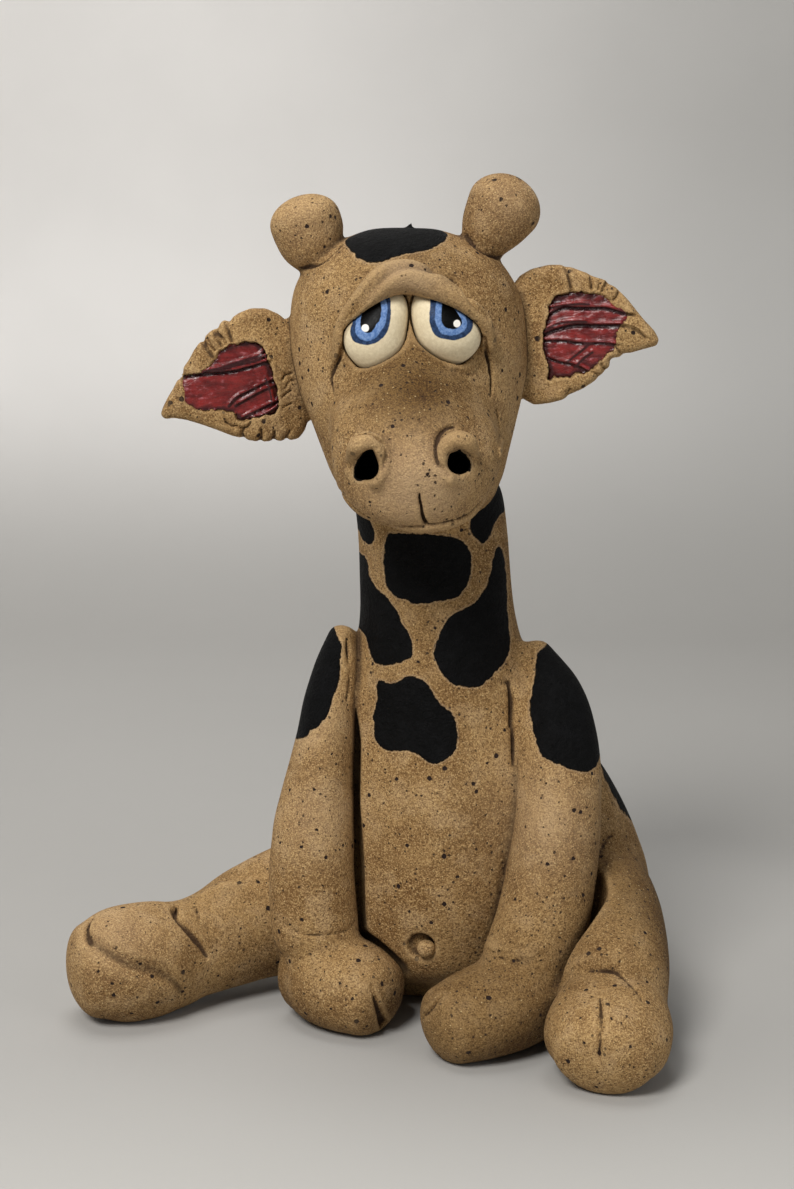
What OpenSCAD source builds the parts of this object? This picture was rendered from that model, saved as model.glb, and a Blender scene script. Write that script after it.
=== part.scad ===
// Seated giraffe figurine, hand-built in stoneware: soft clay pieces pressed together and fired.
// It faces -Y. Its own left is +X. The origin is the middle of its flat seat, on the table.

/* [Body] */
// Half the width of the haunches at their widest
haunch_half_w = 45; // [42:0.5:48]
// Half the depth of the haunches, front to back, without the belly
haunch_half_d = 26; // [24:0.5:28]
// How far the belly stands out in front
belly_out = 7; // [4:0.5:10]
// Half the width of the neck
neck_half_w = 18; // [16:0.5:19.5]
// Half the depth of the neck
neck_half_d = 16; // [14:0.5:17.5]
// Thickness of the pinched clay walls of body and head
wall = 6.5; // [5:0.5:8]
// Diameter of the vent in the seat that lets the kiln's steam out
vent_d = 3; // [2:0.5:5]
// Diameter of the hollow pressed in for the navel
navel_d = 6.2; // [5:0.2:7]

/* [Head] */
// Half the width of the head at the eyes
head_half_w = 27.5; // [26:0.5:29]
// Half the depth of the head at the eyes
head_half_d = 24; // [22.5:0.5:26]
// Half the width of the snout
snout_half_w = 19; // [17:0.5:20]
// Diameter of a nostril
nostril_d = 5; // [4:0.5:6]
// Depth of a nostril
nostril_depth = 9; // [5:0.5:11]
// How far the eyes stand proud of their middle
eye_bulge = 6; // [5:0.5:7]
// Radius of the round end of a horn
horn_r = 8.4; // [7.5:0.2:9]
// Thickness of an ear
ear_thick = 8; // [7:0.5:9]
// Depth of the cup in an ear
ear_cup = 4; // [3:0.25:4.5]

/* [Limbs] */
// Half the thickness of a front leg at the wrist
front_leg_r = 10; // [9:0.5:11]
// Half the thickness of a hind leg at the shin
hind_leg_r = 13; // [12:0.5:14]
// Half the width of a front hoof
front_hoof_r = 12; // [11:0.5:12.5]
// Half the width of a hind hoof
hind_hoof_r = 14; // [13:0.5:14.5]
// Radius of the tail's coil
tail_r = 3; // [2.5:0.25:3.5]

/* [Hidden] */

body_sides = 30;
limb_sides = 20;
small_sides = 14;
X = [1, 0, 0];
Y = [0, 1, 0];
Z = [0, 0, 1];

// ---- Curves -------------------------------------------------------------------------------

function unit(v) = v / norm(v);

// Catmull-Rom curve through the rows of a table, t counts rows
function curve(rows, t) =
    let (last = len(rows) - 1, i = min(floor(t), last - 1), f = t - i,
         b = rows[i], c = rows[i + 1],
         a = i > 0 ? rows[i - 1] : 2 * b - c,
         d = i + 2 <= last ? rows[i + 2] : 2 * c - b)
    0.5 * (2 * b + (c - a) * f + (2 * a - 5 * b + 4 * c - d) * f * f
           + (3 * b - a - 3 * c + d) * f * f * f);

function refined(rows, steps) = [for (k = [0:steps]) curve(rows, k * (len(rows) - 1) / steps)];

// ---- Solids from rings --------------------------------------------------------------------

// Closed solid through a list of rings, each a list of points, with a point at either end
module skin(rings, first_tip, last_tip) {
    n = len(rings[0]);
    top = (len(rings) - 1) * n;
    points = concat([for (ring = rings) each ring], [first_tip, last_tip]);
    walls = [for (i = [0:len(rings) - 2], j = [0:n - 1])
        let (a = i * n + j, b = i * n + (j + 1) % n) each [[a, a + n, b], [b, a + n, b + n]]];
    first_fan = [for (j = [0:n - 1]) [top + n, j, (j + 1) % n]];
    last_fan = [for (j = [0:n - 1]) [top + n + 1, top + (j + 1) % n, top + j]];
    polyhedron(points, concat(walls, first_fan, last_fan));
}

// Upright form. A row is [height, middle x, middle y, half width, half depth], and belly is
// [middle x, half width, list of how far it stands out at each row]
module upright(rows, steps, sides, belly = [0, 1, []]) {
    full = [for (i = [0:len(rows) - 1]) concat(rows[i], [len(belly[2]) > i ? belly[2][i] : 0])];
    fine = refined(full, steps);
    rings = [for (r = fine) [for (j = [0:sides - 1])
        let (a = 360 * j / sides, x = r[1] + r[3] * cos(a), off = (x - belly[0]) / belly[1],
             out = r[5] * exp(-off * off) * max(0, -sin(a)))
        [x, r[2] + r[4] * sin(a) - out, r[0]]]];
    skin(rings, [fine[0][1], fine[0][2], fine[0][0] - 0.5],
         [fine[steps][1], fine[steps][2], fine[steps][0] + 0.5]);
}

// Coil of clay. A row is [x, y, z, half width, half depth]; the width runs along wide. The ends
// are rounded by first_cap and last_cap. Sections stand square to the coil, or to along.
module coil(rows, steps, wide, first_cap, last_cap, sides = limb_sides, along = undef) {
    fine = refined(rows, steps);
    spots = [for (r = fine) [r.x, r.y, r.z]];
    tangents = [for (i = [0:steps])
        is_undef(along) ? unit(spots[min(i + 1, steps)] - spots[max(i - 1, 0)]) : along];
    caps = [0.5, 0.8, 0.96];
    entries = concat(
        [for (k = [2:-1:0]) [spots[0] - tangents[0] * first_cap * caps[k], tangents[0],
            fine[0] * sqrt(1 - caps[k] * caps[k])]],
        [for (i = [0:steps]) [spots[i], tangents[i], fine[i]]],
        [for (k = [0:2]) [spots[steps] + tangents[steps] * last_cap * caps[k], tangents[steps],
            fine[steps] * sqrt(1 - caps[k] * caps[k])]]);
    rings = [for (e = entries)
        let (across = unit(wide - (wide * e[1]) * e[1]), up = cross(e[1], across))
        [for (j = [0:sides - 1])
            let (a = 360 * j / sides)
            e[0] + across * e[2][3] * cos(a) + up * e[2][4] * sin(a)]];
    skin(rings, spots[0] - tangents[0] * first_cap, spots[steps] + tangents[steps] * last_cap);
}

module below_table() translate([-150, -150, -20]) cube([300, 300, 20]);

// ---- Body ---------------------------------------------------------------------------------

torso_rows = [
    [-2, 8, 12, haunch_half_w - 13, haunch_half_d - 10],
    [5, 9, 11, haunch_half_w - 6, haunch_half_d - 4.5],
    [11.5, 9.3, 8.7, haunch_half_w - 1.8, haunch_half_d - 0.8],
    [20, 9.5, 8, haunch_half_w, haunch_half_d],
    [32, 9.5, 7, haunch_half_w - 0.5, haunch_half_d],
    [45, 8.5, 6, haunch_half_w - 4.5, haunch_half_d - 1],
    [57, 7, 5, haunch_half_w - 10, haunch_half_d - 2.5],
    [70, 5, 4, haunch_half_w - 16, haunch_half_d - 5],
    [82, 3, 3, neck_half_w + 4, neck_half_d + 3.5],
    [92, 2.2, 2, neck_half_w + 1.2, neck_half_d + 1.5],
    [104, 1.3, 1.5, neck_half_w + 0.3, neck_half_d + 0.5],
    [115, 0.6, 1, neck_half_w, neck_half_d],
    [125, -0.5, 0, neck_half_w - 0.5, neck_half_d - 0.5],
    [131, -1, 0, neck_half_w - 4, neck_half_d - 4]
];
belly = [1, 19, [for (share = [0, 0.1, 0.85, 1, 1, 0.95, 0.8, 0.5, 0.3, 0.1]) share * belly_out]];

module torso_outer() upright(torso_rows, 28, body_sides, belly);

module torso_cavity() {
    rows = [for (i = [1:len(torso_rows) - 2])
        let (r = torso_rows[i]) [r[0], r[1], r[2], r[3] - wall, r[4] - wall]];
    upright(rows, 14, 20);
}

// Middle of the navel at the belly's skin, how deep it goes, and where its bead lies in it
navel = [-2, -24.2, 20];
navel_depth = 3;
bead_offset = [1.1, 1.2, -0.8];

module navel_hole() {
    translate(navel + [0, navel_depth, 0]) rotate([90, 0, 0])
        cylinder(d = navel_d, h = navel_depth * 3, $fn = 24);
}

module torso_shell() {
    color([0.55, 0.42, 0.28]) difference() {
        torso_outer();
        torso_cavity();
        below_table();
        translate([24, 12, -1]) cylinder(d = vent_d, h = wall + 12, $fn = 24);
        navel_hole();
    }
}

module navel_bead() {
    color([0.5, 0.37, 0.24]) intersection() {
        translate(navel + bead_offset) sphere(d = navel_d * 0.7, $fn = 24);
        navel_hole();
    }
}

// ---- Head ---------------------------------------------------------------------------------

head_rows = [
    [119, -1.5, -8, 9, 8],
    [122, -2, -8, 15, 13],
    [128, -2.8, -7, 19.5, 19],
    [135, -3.4, -6, 21.8, 22],
    [141, -3.8, -4, 23.8, head_half_d],
    [148, -4.5, -2, 26, head_half_d + 0.5],
    [155, -4.8, -1, 27.2, head_half_d + 0.5],
    [161, -5.1, 0, head_half_w, head_half_d],
    [167, -5.5, 0, head_half_w - 0.2, head_half_d - 0.8],
    [173, -5.8, 0, head_half_w - 1.6, head_half_d - 2.5],
    [179, -6, 0, head_half_w - 5.5, head_half_d - 6],
    [183, -6.4, 0, head_half_w - 12, head_half_d - 11],
    [185.5, -6.6, 0, 8, 6]
];

module head_outer() upright(head_rows, 24, body_sides);

module head_cavity() {
    rows = [for (r = head_rows) if (r[0] > 138 && r[0] < 180)
        [r[0], r[1], r[2] + 1, r[3] - wall, r[4] - wall]];
    upright(rows, 8, 20);
}

module head_shell() {
    color([0.57, 0.44, 0.28]) difference() {
        head_outer();
        head_cavity();
        torso_outer();
        left_eye_form();
        right_eye_form();
    }
}

// Snout pad, from the lip up over the bridge to between the eyes
muzzle_rows = [
    [120.9, -2.6, -31, 8, 8],
    [123, -3.6, -30.4, snout_half_w - 6, 12.6],
    [128, -3.8, -29, snout_half_w - 2.1, 16.6],
    [134, -3.3, -28, snout_half_w, 19],
    [139, -3.6, -26.5, snout_half_w, 18.5],
    [145, -4.6, -23.5, snout_half_w - 1.5, 17],
    [151, -5, -19.5, snout_half_w - 5, 15],
    [157, -5.2, -15.5, snout_half_w - 10, 12.5],
    [161, -5.3, -13.5, snout_half_w - 15, 9]
];

module muzzle_outer() upright(muzzle_rows, 18, 28);

left_nostril = [5.5, -46, 136.1];
right_nostril = [-14.2, -46, 135.6];

module nostril_hole(place) {
    translate(place + [0, -4, 0]) rotate([-90, 0, 0])
        cylinder(d = nostril_d, h = nostril_depth + 4, $fn = 24);
}

module muzzle() {
    color([0.6, 0.48, 0.33]) difference() {
        muzzle_outer();
        head_outer();
        torso_outer();
        left_eye_form();
        right_eye_form();
        nostril_hole(left_nostril);
        nostril_hole(right_nostril);
    }
}

lip_rows = [
    [-19, -24, 129, 1.8, 2],
    [-15, -31, 126, 2.1, 2.4],
    [-9, -36.5, 123.5, 2.3, 2.8],
    [-2, -39, 122.5, 2.4, 3],
    [5, -37, 123.5, 2.3, 2.8],
    [9.4, -31.5, 126.2, 2.1, 2.4],
    [12.4, -24, 130, 1.8, 2]
];

module lower_lip() {
    color([0.55, 0.42, 0.28]) difference() {
        coil(lip_rows, 16, Z, 2, 2, small_sides);
        muzzle_outer();
        head_outer();
        torso_outer();
    }
}

brow_rows = [
    [-20.6, -20.5, 158.5, 2, 1.8],
    [-19.9, -22, 163, 2.2, 2],
    [-17.6, -23.4, 167.4, 2.8, 2.2],
    [-14.4, -24.2, 170.8, 3.4, 2.7],
    [-10.3, -24.3, 174, 4, 3.7],
    [-5.5, -24.3, 175.1, 4.2, 3.9],
    [-0.5, -24.3, 173.4, 4, 3.5],
    [3.5, -24.3, 171.2, 3.6, 2.8],
    [8, -23.9, 168.4, 3.2, 2.3],
    [11.4, -22.6, 165, 2.6, 2],
    [12.8, -20.8, 160.5, 2.2, 1.8]
];

module brow_fold() {
    color([0.5, 0.38, 0.23]) difference() {
        coil(brow_rows, 20, Y, 2.5, 2.5, small_sides);
        head_outer();
        muzzle_outer();
        left_eye_form();
        right_eye_form();
    }
}

// Tear-shaped eyeballs: [height, middle x, half width]
left_eye_rows = [
    [155.8, 4.5, 2], [157.5, 4.3, 4.6], [160.5, 3.9, 7],
    [164.5, 3, 7.4], [168.5, 0.8, 5.6], [171.5, -1.6, 2.4]
];
right_eye_rows = [
    [153.8, -12.6, 2], [155.5, -12.6, 4.2], [159, -12.8, 6.6],
    [163.5, -12.5, 7], [168, -10.4, 5.2], [171.5, -8.6, 2.4]
];

module eye_form(rows, y) {
    widest = max([for (r = rows) r[2]]);
    upright([for (r = rows) [r[0], r[1], y, r[2], eye_bulge * r[2] / widest]], 12, 20);
}

module left_eye_form() eye_form(left_eye_rows, -22);
module right_eye_form() eye_form(right_eye_rows, -22);
module left_eye() color([0.78, 0.71, 0.59]) left_eye_form();
module right_eye() color([0.78, 0.71, 0.59]) difference() {
    right_eye_form();
    left_eye_form();
}

// Flap curled over a nostril's top and inner side; turn is 1 on the giraffe's left, -1 on its right
module nostril_rim(place, turn) {
    rows = [for (a = [60:35:235])
        [place.x + turn * 3.6 * cos(a), place.y + 1.2, place.z + 0.6 + 4.6 * sin(a),
         2.2, 1.2 + 0.7 * max(0, sin(a))]];
    color([0.58, 0.45, 0.3]) difference() {
        coil(rows, 10, Y, 1.8, 1.8, 10);
        muzzle_outer();
        nostril_hole(place);
    }
}

module left_nostril_rim() nostril_rim(left_nostril, 1);
module right_nostril_rim() nostril_rim(right_nostril, -1);

// ---- Ears and horns -----------------------------------------------------------------------

left_ear_rows = [
    [18, 3, 157.5, 11, 0.8],
    [24, 1, 160.4, 15.2, 1],
    [31, -1, 161.7, 15.3, 1],
    [38, -2, 162.4, 12.4, 0.95],
    [44, -3, 163.4, 8, 0.85],
    [49, -4, 161.8, 3.9, 0.7]
];
right_ear_rows = [
    [-28, 3, 152.5, 11, 0.8],
    [-34, 1, 152, 14, 1],
    [-40, -1, 151.8, 15.3, 1],
    [-47.5, -2, 151.2, 13, 0.95],
    [-54.5, -3, 149, 8.4, 0.85],
    [-59.7, -4, 145, 3.4, 0.7]
];

// The last column of an ear's rows is a share of its half thickness
module ear(rows, outward) {
    body = [for (r = rows) [r[0], r[1], r[2], r[3], r[4] * ear_thick / 2]];
    cup = [for (i = [1:4])
        let (r = body[i]) [r[0], r[1] - ear_thick / 2 - 0.5, r[2], r[3] * 0.62, ear_cup]];
    color([0.57, 0.44, 0.28]) difference() {
        coil(body, 14, Z, 2, 3.6, along = outward);
        coil(cup, 8, Z, 1.5, 3, along = outward);
        head_outer();
    }
}

module left_ear() ear(left_ear_rows, X);
module right_ear() ear(right_ear_rows, -X);

module horn(rows, cap) {
    color([0.56, 0.46, 0.31]) difference() {
        coil(rows, 10, X, 2, cap);
        head_outer();
    }
}

module left_horn() horn([
    [9, 0, 173, 5, 5],
    [11.5, -1, 180, 4.7, 4.9],
    [13.8, -1.5, 185, horn_r - 1.3, horn_r - 1.2],
    [17, -2, 190.4, horn_r + 0.5, horn_r + 0.2]
], 7.6);
module right_horn() horn([
    [-21, 0, 171, 5.5, 5.5],
    [-24.4, -1, 177.6, 5.6, 5.6],
    [-27.2, -1.5, 182.3, horn_r - 0.3, horn_r - 0.4],
    [-29, -2, 187.4, horn_r + 0.3, horn_r + 0.1]
], 6.4);

// ---- Front legs ---------------------------------------------------------------------------

left_front_rows = [
    [24.5, -1, 88, 4.6, 5.5],
    [26.4, -4.5, 82, 7.2, 7.6],
    [28.4, -9, 75, 8.9, 8.8],
    [29.8, -13, 67, 9.8, 9.6],
    [30.2, -17, 58, 10, 10],
    [29.6, -20.5, 48, 10.1, front_leg_r],
    [28, -24, 37, 10.6, front_leg_r],
    [25.5, -27.5, 27, 10.8, front_leg_r],
    [22, -31, 19, 10.5, front_leg_r - 0.5]
];
right_front_rows = [
    [-20.6, 0, 90, 3.4, 4.8],
    [-22.2, -3, 83, 5.1, 6.6],
    [-23.9, -6, 75, 6.1, 8],
    [-25, -8.5, 66, 6.9, 9],
    [-26.6, -11, 55, 8.3, 9.6],
    [-27.8, -13.5, 43, 9.8, front_leg_r],
    [-28, -15, 32, 10.3, front_leg_r],
    [-27.2, -16.5, 21, 10.1, front_leg_r - 0.5]
];

module left_front_coil() coil(left_front_rows, 16, X, 2, 7);
module right_front_coil() coil(right_front_rows, 16, X, 2, 7);

module left_front_leg() color([0.55, 0.43, 0.28]) difference() {
    left_front_coil();
    torso_outer();
}
module right_front_leg() color([0.55, 0.43, 0.28]) difference() {
    right_front_coil();
    torso_outer();
}

left_front_hoof_rows = [
    [24, -30, 11, front_hoof_r - 1.5, 11],
    [17, -35, 10.4, front_hoof_r, 11],
    [9.5, -39.5, 9.4, front_hoof_r - 0.5, 10],
    [4, -42.5, 8.4, front_hoof_r - 2.5, 9]
];
right_front_hoof_rows = [
    [-27.4, -14, 10.6, front_hoof_r - 1.5, 11],
    [-23, -18.5, 10.2, front_hoof_r + 0.5, 11],
    [-18, -23, 9.4, front_hoof_r, 10.4],
    [-13.5, -26.5, 8.4, front_hoof_r - 2, 9.2]
];

module hoof_side(rows) coil(rows, 8, unit(cross(Z, dir(rows))), 7, 5);
function dir(rows) =
    let (a = rows[0], b = rows[len(rows) - 1]) [b.x - a.x, b.y - a.y, 0];

module left_front_hoof() color([0.55, 0.43, 0.27]) difference() {
    hoof_side(left_front_hoof_rows);
    left_front_coil();
    torso_outer();
    below_table();
}
module right_front_hoof() color([0.55, 0.43, 0.27]) difference() {
    hoof_side(right_front_hoof_rows);
    right_front_coil();
    torso_outer();
    below_table();
}

// ---- Hind legs ----------------------------------------------------------------------------

left_hind_rows = [
    [38, 8, 22.5, 15, 17],
    [41, -6, 22.5, 14.5, 17],
    [42, -18, 21.5, hind_leg_r + 0.8, 15.5],
    [42, -30, 18.5, hind_leg_r, 14],
    [41, -40, 15, hind_leg_r - 0.5, 13]
];
right_hind_rows = [
    [-20, 14, 20, 15, 17],
    [-32, 8, 19, hind_leg_r, 16.5],
    [-43, 2, 17, hind_leg_r - 1.5, 14.5],
    [-52, -3, 14.5, hind_leg_r - 2, 12.5],
    [-60, -8, 13, hind_leg_r - 2, 12]
];

module left_hind_coil() coil(left_hind_rows, 12, X, 6, 6);
module right_hind_coil() coil(right_hind_rows, 12, unit([1, 2, 0]), 6, 6);

module left_hind_leg() color([0.55, 0.42, 0.27]) difference() {
    left_hind_coil();
    torso_outer();
    left_front_coil();
    below_table();
}
module right_hind_leg() color([0.55, 0.42, 0.27]) difference() {
    right_hind_coil();
    torso_outer();
    right_front_coil();
    below_table();
}

left_hind_hoof_rows = [
    [41, -42, 11.2, hind_hoof_r - 1.5, 11.6],
    [39.5, -50, 10.6, hind_hoof_r + 0.1, 11.4],
    [38, -57, 9.8, hind_hoof_r - 0.3, 10.6],
    [37, -61, 8.8, hind_hoof_r - 2.5, 9.4]
];
right_hind_hoof_rows = [
    [-60.5, -9, 12.6, hind_hoof_r - 3, 12.8],
    [-67, -13, 13, hind_hoof_r - 1, 14],
    [-74.5, -17, 13, hind_hoof_r - 1, 13.8],
    [-80.5, -19.5, 12.4, hind_hoof_r - 3.5, 11.4]
];

module left_hind_hoof() color([0.55, 0.43, 0.27]) difference() {
    hoof_side(left_hind_hoof_rows);
    left_hind_coil();
    below_table();
}
module right_hind_hoof() color([0.55, 0.43, 0.27]) difference() {
    hoof_side(right_hind_hoof_rows);
    right_hind_coil();
    below_table();
}

// ---- Tail ---------------------------------------------------------------------------------

tail_rows = [
    [11, 32, 36, tail_r + 1, tail_r + 1],
    [13, 34.6, 29, tail_r + 0.4, tail_r + 0.4],
    [16, 35.4, 21, tail_r, tail_r],
    [21.5, 35, 13.5, tail_r, tail_r],
    [28.5, 33, 8, tail_r - 0.3, tail_r - 0.3],
    [35, 30, 5, tail_r - 0.5, tail_r - 0.5]
];
tuft_rows = [
    [36, 29.4, 4.4, 3.2, 3.4],
    [41, 27, 5, 4.8, 5],
    [46, 23.5, 5.2, 4.6, 4.8],
    [49.5, 19.5, 4.4, 2.6, 3.2]
];

module tail_coil() coil(tail_rows, 14, Z, 2, 1.5, small_sides);

module tail() color([0.55, 0.42, 0.28]) difference() {
    tail_coil();
    torso_outer();
}
module tail_tuft() color([0.12, 0.12, 0.12]) difference() {
    coil(tuft_rows, 8, Z, 2, 2.5, small_sides);
    tail_coil();
    torso_outer();
    below_table();
}

torso_shell();
head_shell();
muzzle();
lower_lip();
brow_fold();
left_eye();
right_eye();
left_nostril_rim();
right_nostril_rim();
left_ear();
right_ear();
left_horn();
right_horn();
left_front_leg();
right_front_leg();
left_front_hoof();
right_front_hoof();
left_hind_leg();
right_hind_leg();
left_hind_hoof();
right_hind_hoof();
navel_bead();
tail();
tail_tuft();
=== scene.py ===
import math

import bpy
import numpy as np
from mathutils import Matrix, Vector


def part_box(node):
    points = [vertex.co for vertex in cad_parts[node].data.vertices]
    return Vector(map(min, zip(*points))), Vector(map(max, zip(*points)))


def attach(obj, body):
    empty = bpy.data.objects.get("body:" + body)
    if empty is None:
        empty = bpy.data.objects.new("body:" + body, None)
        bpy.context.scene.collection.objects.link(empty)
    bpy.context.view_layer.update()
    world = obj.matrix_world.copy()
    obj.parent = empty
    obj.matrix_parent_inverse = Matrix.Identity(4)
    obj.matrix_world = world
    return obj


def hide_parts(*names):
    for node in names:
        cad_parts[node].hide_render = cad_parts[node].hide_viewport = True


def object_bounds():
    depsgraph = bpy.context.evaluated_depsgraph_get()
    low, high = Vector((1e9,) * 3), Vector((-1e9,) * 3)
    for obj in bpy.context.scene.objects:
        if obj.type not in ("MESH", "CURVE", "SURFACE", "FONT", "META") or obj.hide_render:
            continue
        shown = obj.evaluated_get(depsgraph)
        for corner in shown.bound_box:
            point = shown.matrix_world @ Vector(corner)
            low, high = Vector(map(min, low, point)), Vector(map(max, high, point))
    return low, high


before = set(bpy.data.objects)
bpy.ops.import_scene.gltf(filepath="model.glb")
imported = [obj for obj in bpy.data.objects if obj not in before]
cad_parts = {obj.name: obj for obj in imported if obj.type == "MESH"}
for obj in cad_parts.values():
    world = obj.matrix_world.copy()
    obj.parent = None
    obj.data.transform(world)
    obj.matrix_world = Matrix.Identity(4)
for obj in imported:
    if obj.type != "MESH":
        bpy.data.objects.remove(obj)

import openvdb as vdb
from mathutils import Vector

# Seated giraffe figurine in speckled stoneware. The forms repeat part.scad's tables, in
# millimetres, but the left front leg starts lower at the shoulder. They are parted where the
# clay has gaps, joined as distance fields, carved, and cut back into one piece per CAD node.
CAD_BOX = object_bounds()
MM = 0.001
H = 0.5        # lattice step of the joined clay
BAND = 6.0     # how far from a surface its distance is known
SHOULDER_FROM, SHOULDER_OVER = 58, 16  # the height where joins begin to widen, and over how much
MARGIN = 2.5   # what a piece's block holds beyond its CAD box
FAR = 20       # distance given to what is out of reach of a patch
# lattice steps of the pieces
STEP = {"face": 0.5, "torso": 0.8, "front": 0.6, "hind": 0.7, "horn": 0.65, "tail": 0.55,
        "ear": 0.35, "bead": 0.25}
EYE_FINER = 2  # lattice cells of an eye in one cell of the joined clay
X, Y, Z = np.eye(3)
rng = np.random.default_rng(7)


# ---- Forms -----------------------------------------------------------------------------------

def refined(rows, steps):
    """Catmull-Rom curve through the rows of a table."""
    r = np.asarray(rows, float)
    t = np.linspace(0, len(r) - 1, steps + 1)
    i = np.minimum(t.astype(int), len(r) - 2)
    f = (t - i)[:, None]
    ends = np.vstack([2 * r[0] - r[1], r, 2 * r[-1] - r[-2]])
    a, b, c, d = (ends[i + k] for k in range(4))
    return 0.5 * (2 * b + (c - a) * f + (2 * a - 5 * b + 4 * c - d) * f ** 2
                  + (3 * b - a - 3 * c + d) * f ** 3)


def skin(rings, first_tip, last_tip):
    """Triangles over a row of rings, closed by a point at each end."""
    n = rings.shape[1]
    top = rings.shape[0] * n
    points = np.vstack([rings.reshape(-1, 3), first_tip, last_tip])
    tris = []
    j = np.arange(n)
    k = (j + 1) % n
    for i in range(len(rings) - 1):
        a, b = i * n + j, i * n + k
        tris += [np.stack([a, a + n, b], 1), np.stack([b, a + n, b + n], 1)]
    tris.append(np.stack([np.full(n, top), j, k], 1))
    tris.append(np.stack([np.full(n, top + 1), top - n + k, top - n + j], 1))
    return points, np.vstack(tris)


def upright(rows, steps=64, sides=96, belly=None):
    """Form from level rows of height, middle x and y, half width and depth, and belly."""
    fine = refined([list(r) + [0] * (6 - len(r)) for r in rows], steps)
    a = np.linspace(0, 2 * np.pi, sides, endpoint=False)
    x = fine[:, 1, None] + fine[:, 3, None] * np.cos(a)
    mid, width = belly or (0, 1)
    out = fine[:, 5, None] * np.exp(-((x - mid) / width) ** 2) * np.maximum(0, -np.sin(a))
    y = fine[:, 2, None] + fine[:, 4, None] * np.sin(a) - out
    z = np.broadcast_to(fine[:, 0, None], x.shape)
    first, last = fine[0, [1, 2, 0]], fine[-1, [1, 2, 0]]
    return skin(np.stack([x, y, z], 2), first - 0.5 * Z, last + 0.5 * Z)


def unit(v):
    return v / np.linalg.norm(v, axis=-1, keepdims=True)


def coil(rows, wide, first_cap, last_cap, along=None, steps=40, sides=56):
    """Form along rows of x, y, z and two half sizes, the first one measured towards wide."""
    fine = refined(rows, steps)
    spot = fine[:, :3]
    if along is None:
        tangent = unit(np.vstack([spot[1:], spot[-1]]) - np.vstack([spot[0], spot[:-1]]))
    else:
        tangent = np.broadcast_to(along, spot.shape)
    caps = np.sin(np.linspace(0.2, 1.5, 8))
    shrink = np.sqrt(1 - caps ** 2)[:, None]
    before = spot[0] - tangent[0] * first_cap * caps[::-1, None]
    after = spot[-1] + tangent[-1] * last_cap * caps[:, None]
    place = np.vstack([before, spot, after])
    turn = np.vstack([np.tile(tangent[0], (8, 1)), tangent, np.tile(tangent[-1], (8, 1))])
    size = np.vstack([fine[0, 3:5] * shrink[::-1], fine[:, 3:5], fine[-1, 3:5] * shrink])
    across = unit(wide - (turn @ wide)[:, None] * turn)
    up = np.cross(turn, across)
    a = np.linspace(0, 2 * np.pi, sides, endpoint=False)
    rings = (place[:, None] + across[:, None] * (size[:, None, 0] * np.cos(a))[..., None]
             + up[:, None] * (size[:, None, 1] * np.sin(a))[..., None])
    return skin(rings, spot[0] - tangent[0] * first_cap, spot[-1] + tangent[-1] * last_cap)


TORSO = [
    (-2, 8, 12, 32, 16, 0), (5, 9, 11, 39, 21.5, 0.7), (11.5, 9.3, 8.7, 43.2, 25.2, 5.95),
    (20, 9.5, 8, 45, 26, 7),
    (32, 9.5, 7, 44.5, 26, 7), (45, 8.5, 6, 40.5, 25, 6.65), (57, 7, 5, 35, 23.5, 5.6),
    (70, 5, 4, 29, 21, 3.5), (82, 3, 3, 22, 19.5, 2.1), (92, 2.2, 2, 19.2, 17.5, 0.7),
    (104, 1.3, 1.5, 18.3, 16.5), (115, 0.6, 1, 18, 16), (125, -0.5, 0, 17.5, 15.5),
    (131, -1, 0, 14, 12)]
HEAD = [
    (119, -1.5, -8, 9, 8), (122, -2, -8, 15, 13), (128, -2.8, -7, 19.5, 19),
    (135, -3.4, -6, 21.8, 22), (141, -3.8, -4, 23.8, 24), (148, -4.5, -2, 26, 24.5),
    (155, -4.8, -1, 27.2, 24.5), (161, -5.1, 0, 27.5, 24), (167, -5.5, 0, 27.3, 23.2),
    (173, -5.8, 0, 25.9, 21.5), (179, -6, 0, 22, 18), (183, -6.4, 0, 15.5, 13),
    (185.5, -6.6, 0, 8, 6)]
MUZZLE = [
    (120.9, -2.6, -31, 8, 8), (123, -3.6, -30.4, 13, 12.6), (128, -3.8, -29, 16.9, 16.6),
    (134, -3.3, -28, 19, 19), (139, -3.6, -26.5, 19, 18.5), (145, -4.6, -23.5, 17.5, 17),
    (151, -5, -19.5, 14, 15), (157, -5.2, -15.5, 9, 12.5), (161, -5.3, -13.5, 4, 9)]
LIP = [
    (-19, -24, 129, 1.8, 2), (-15, -31, 126, 2.1, 2.4), (-9, -36.5, 123.5, 2.3, 2.8),
    (-2, -39, 122.5, 2.4, 3), (5, -37, 123.5, 2.3, 2.8), (9.4, -31.5, 126.2, 2.1, 2.4),
    (12.4, -24, 130, 1.8, 2)]
BROW = [
    (-20.6, -20.5, 158.5, 2, 1.8), (-19.9, -22, 163, 2.2, 2), (-17.6, -23.4, 167.4, 2.8, 2.2),
    (-14.4, -24.2, 170.8, 3.4, 2.7), (-10.3, -24.3, 174, 4, 3.7), (-5.5, -24.3, 175.1, 4.2, 3.9),
    (-0.5, -24.3, 173.4, 4, 3.5), (3.5, -24.3, 171.2, 3.6, 2.8), (8, -23.9, 168.4, 3.2, 2.3),
    (11.4, -22.6, 165, 2.6, 2), (12.8, -20.8, 160.5, 2.2, 1.8)]
EYE_Y, EYE_BULGE = -22, 6
LEFT_EYE = [(155.8, 4.5, 2), (157.5, 4.3, 4.6), (160.5, 3.9, 7), (164.5, 3, 7.4),
            (168.5, 0.8, 5.6), (171.5, -1.6, 2.4)]
RIGHT_EYE = [(153.8, -12.6, 2), (155.5, -12.6, 4.2), (159, -12.8, 6.6), (163.5, -12.5, 7),
             (168, -10.4, 5.2), (171.5, -8.6, 2.4)]
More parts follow.
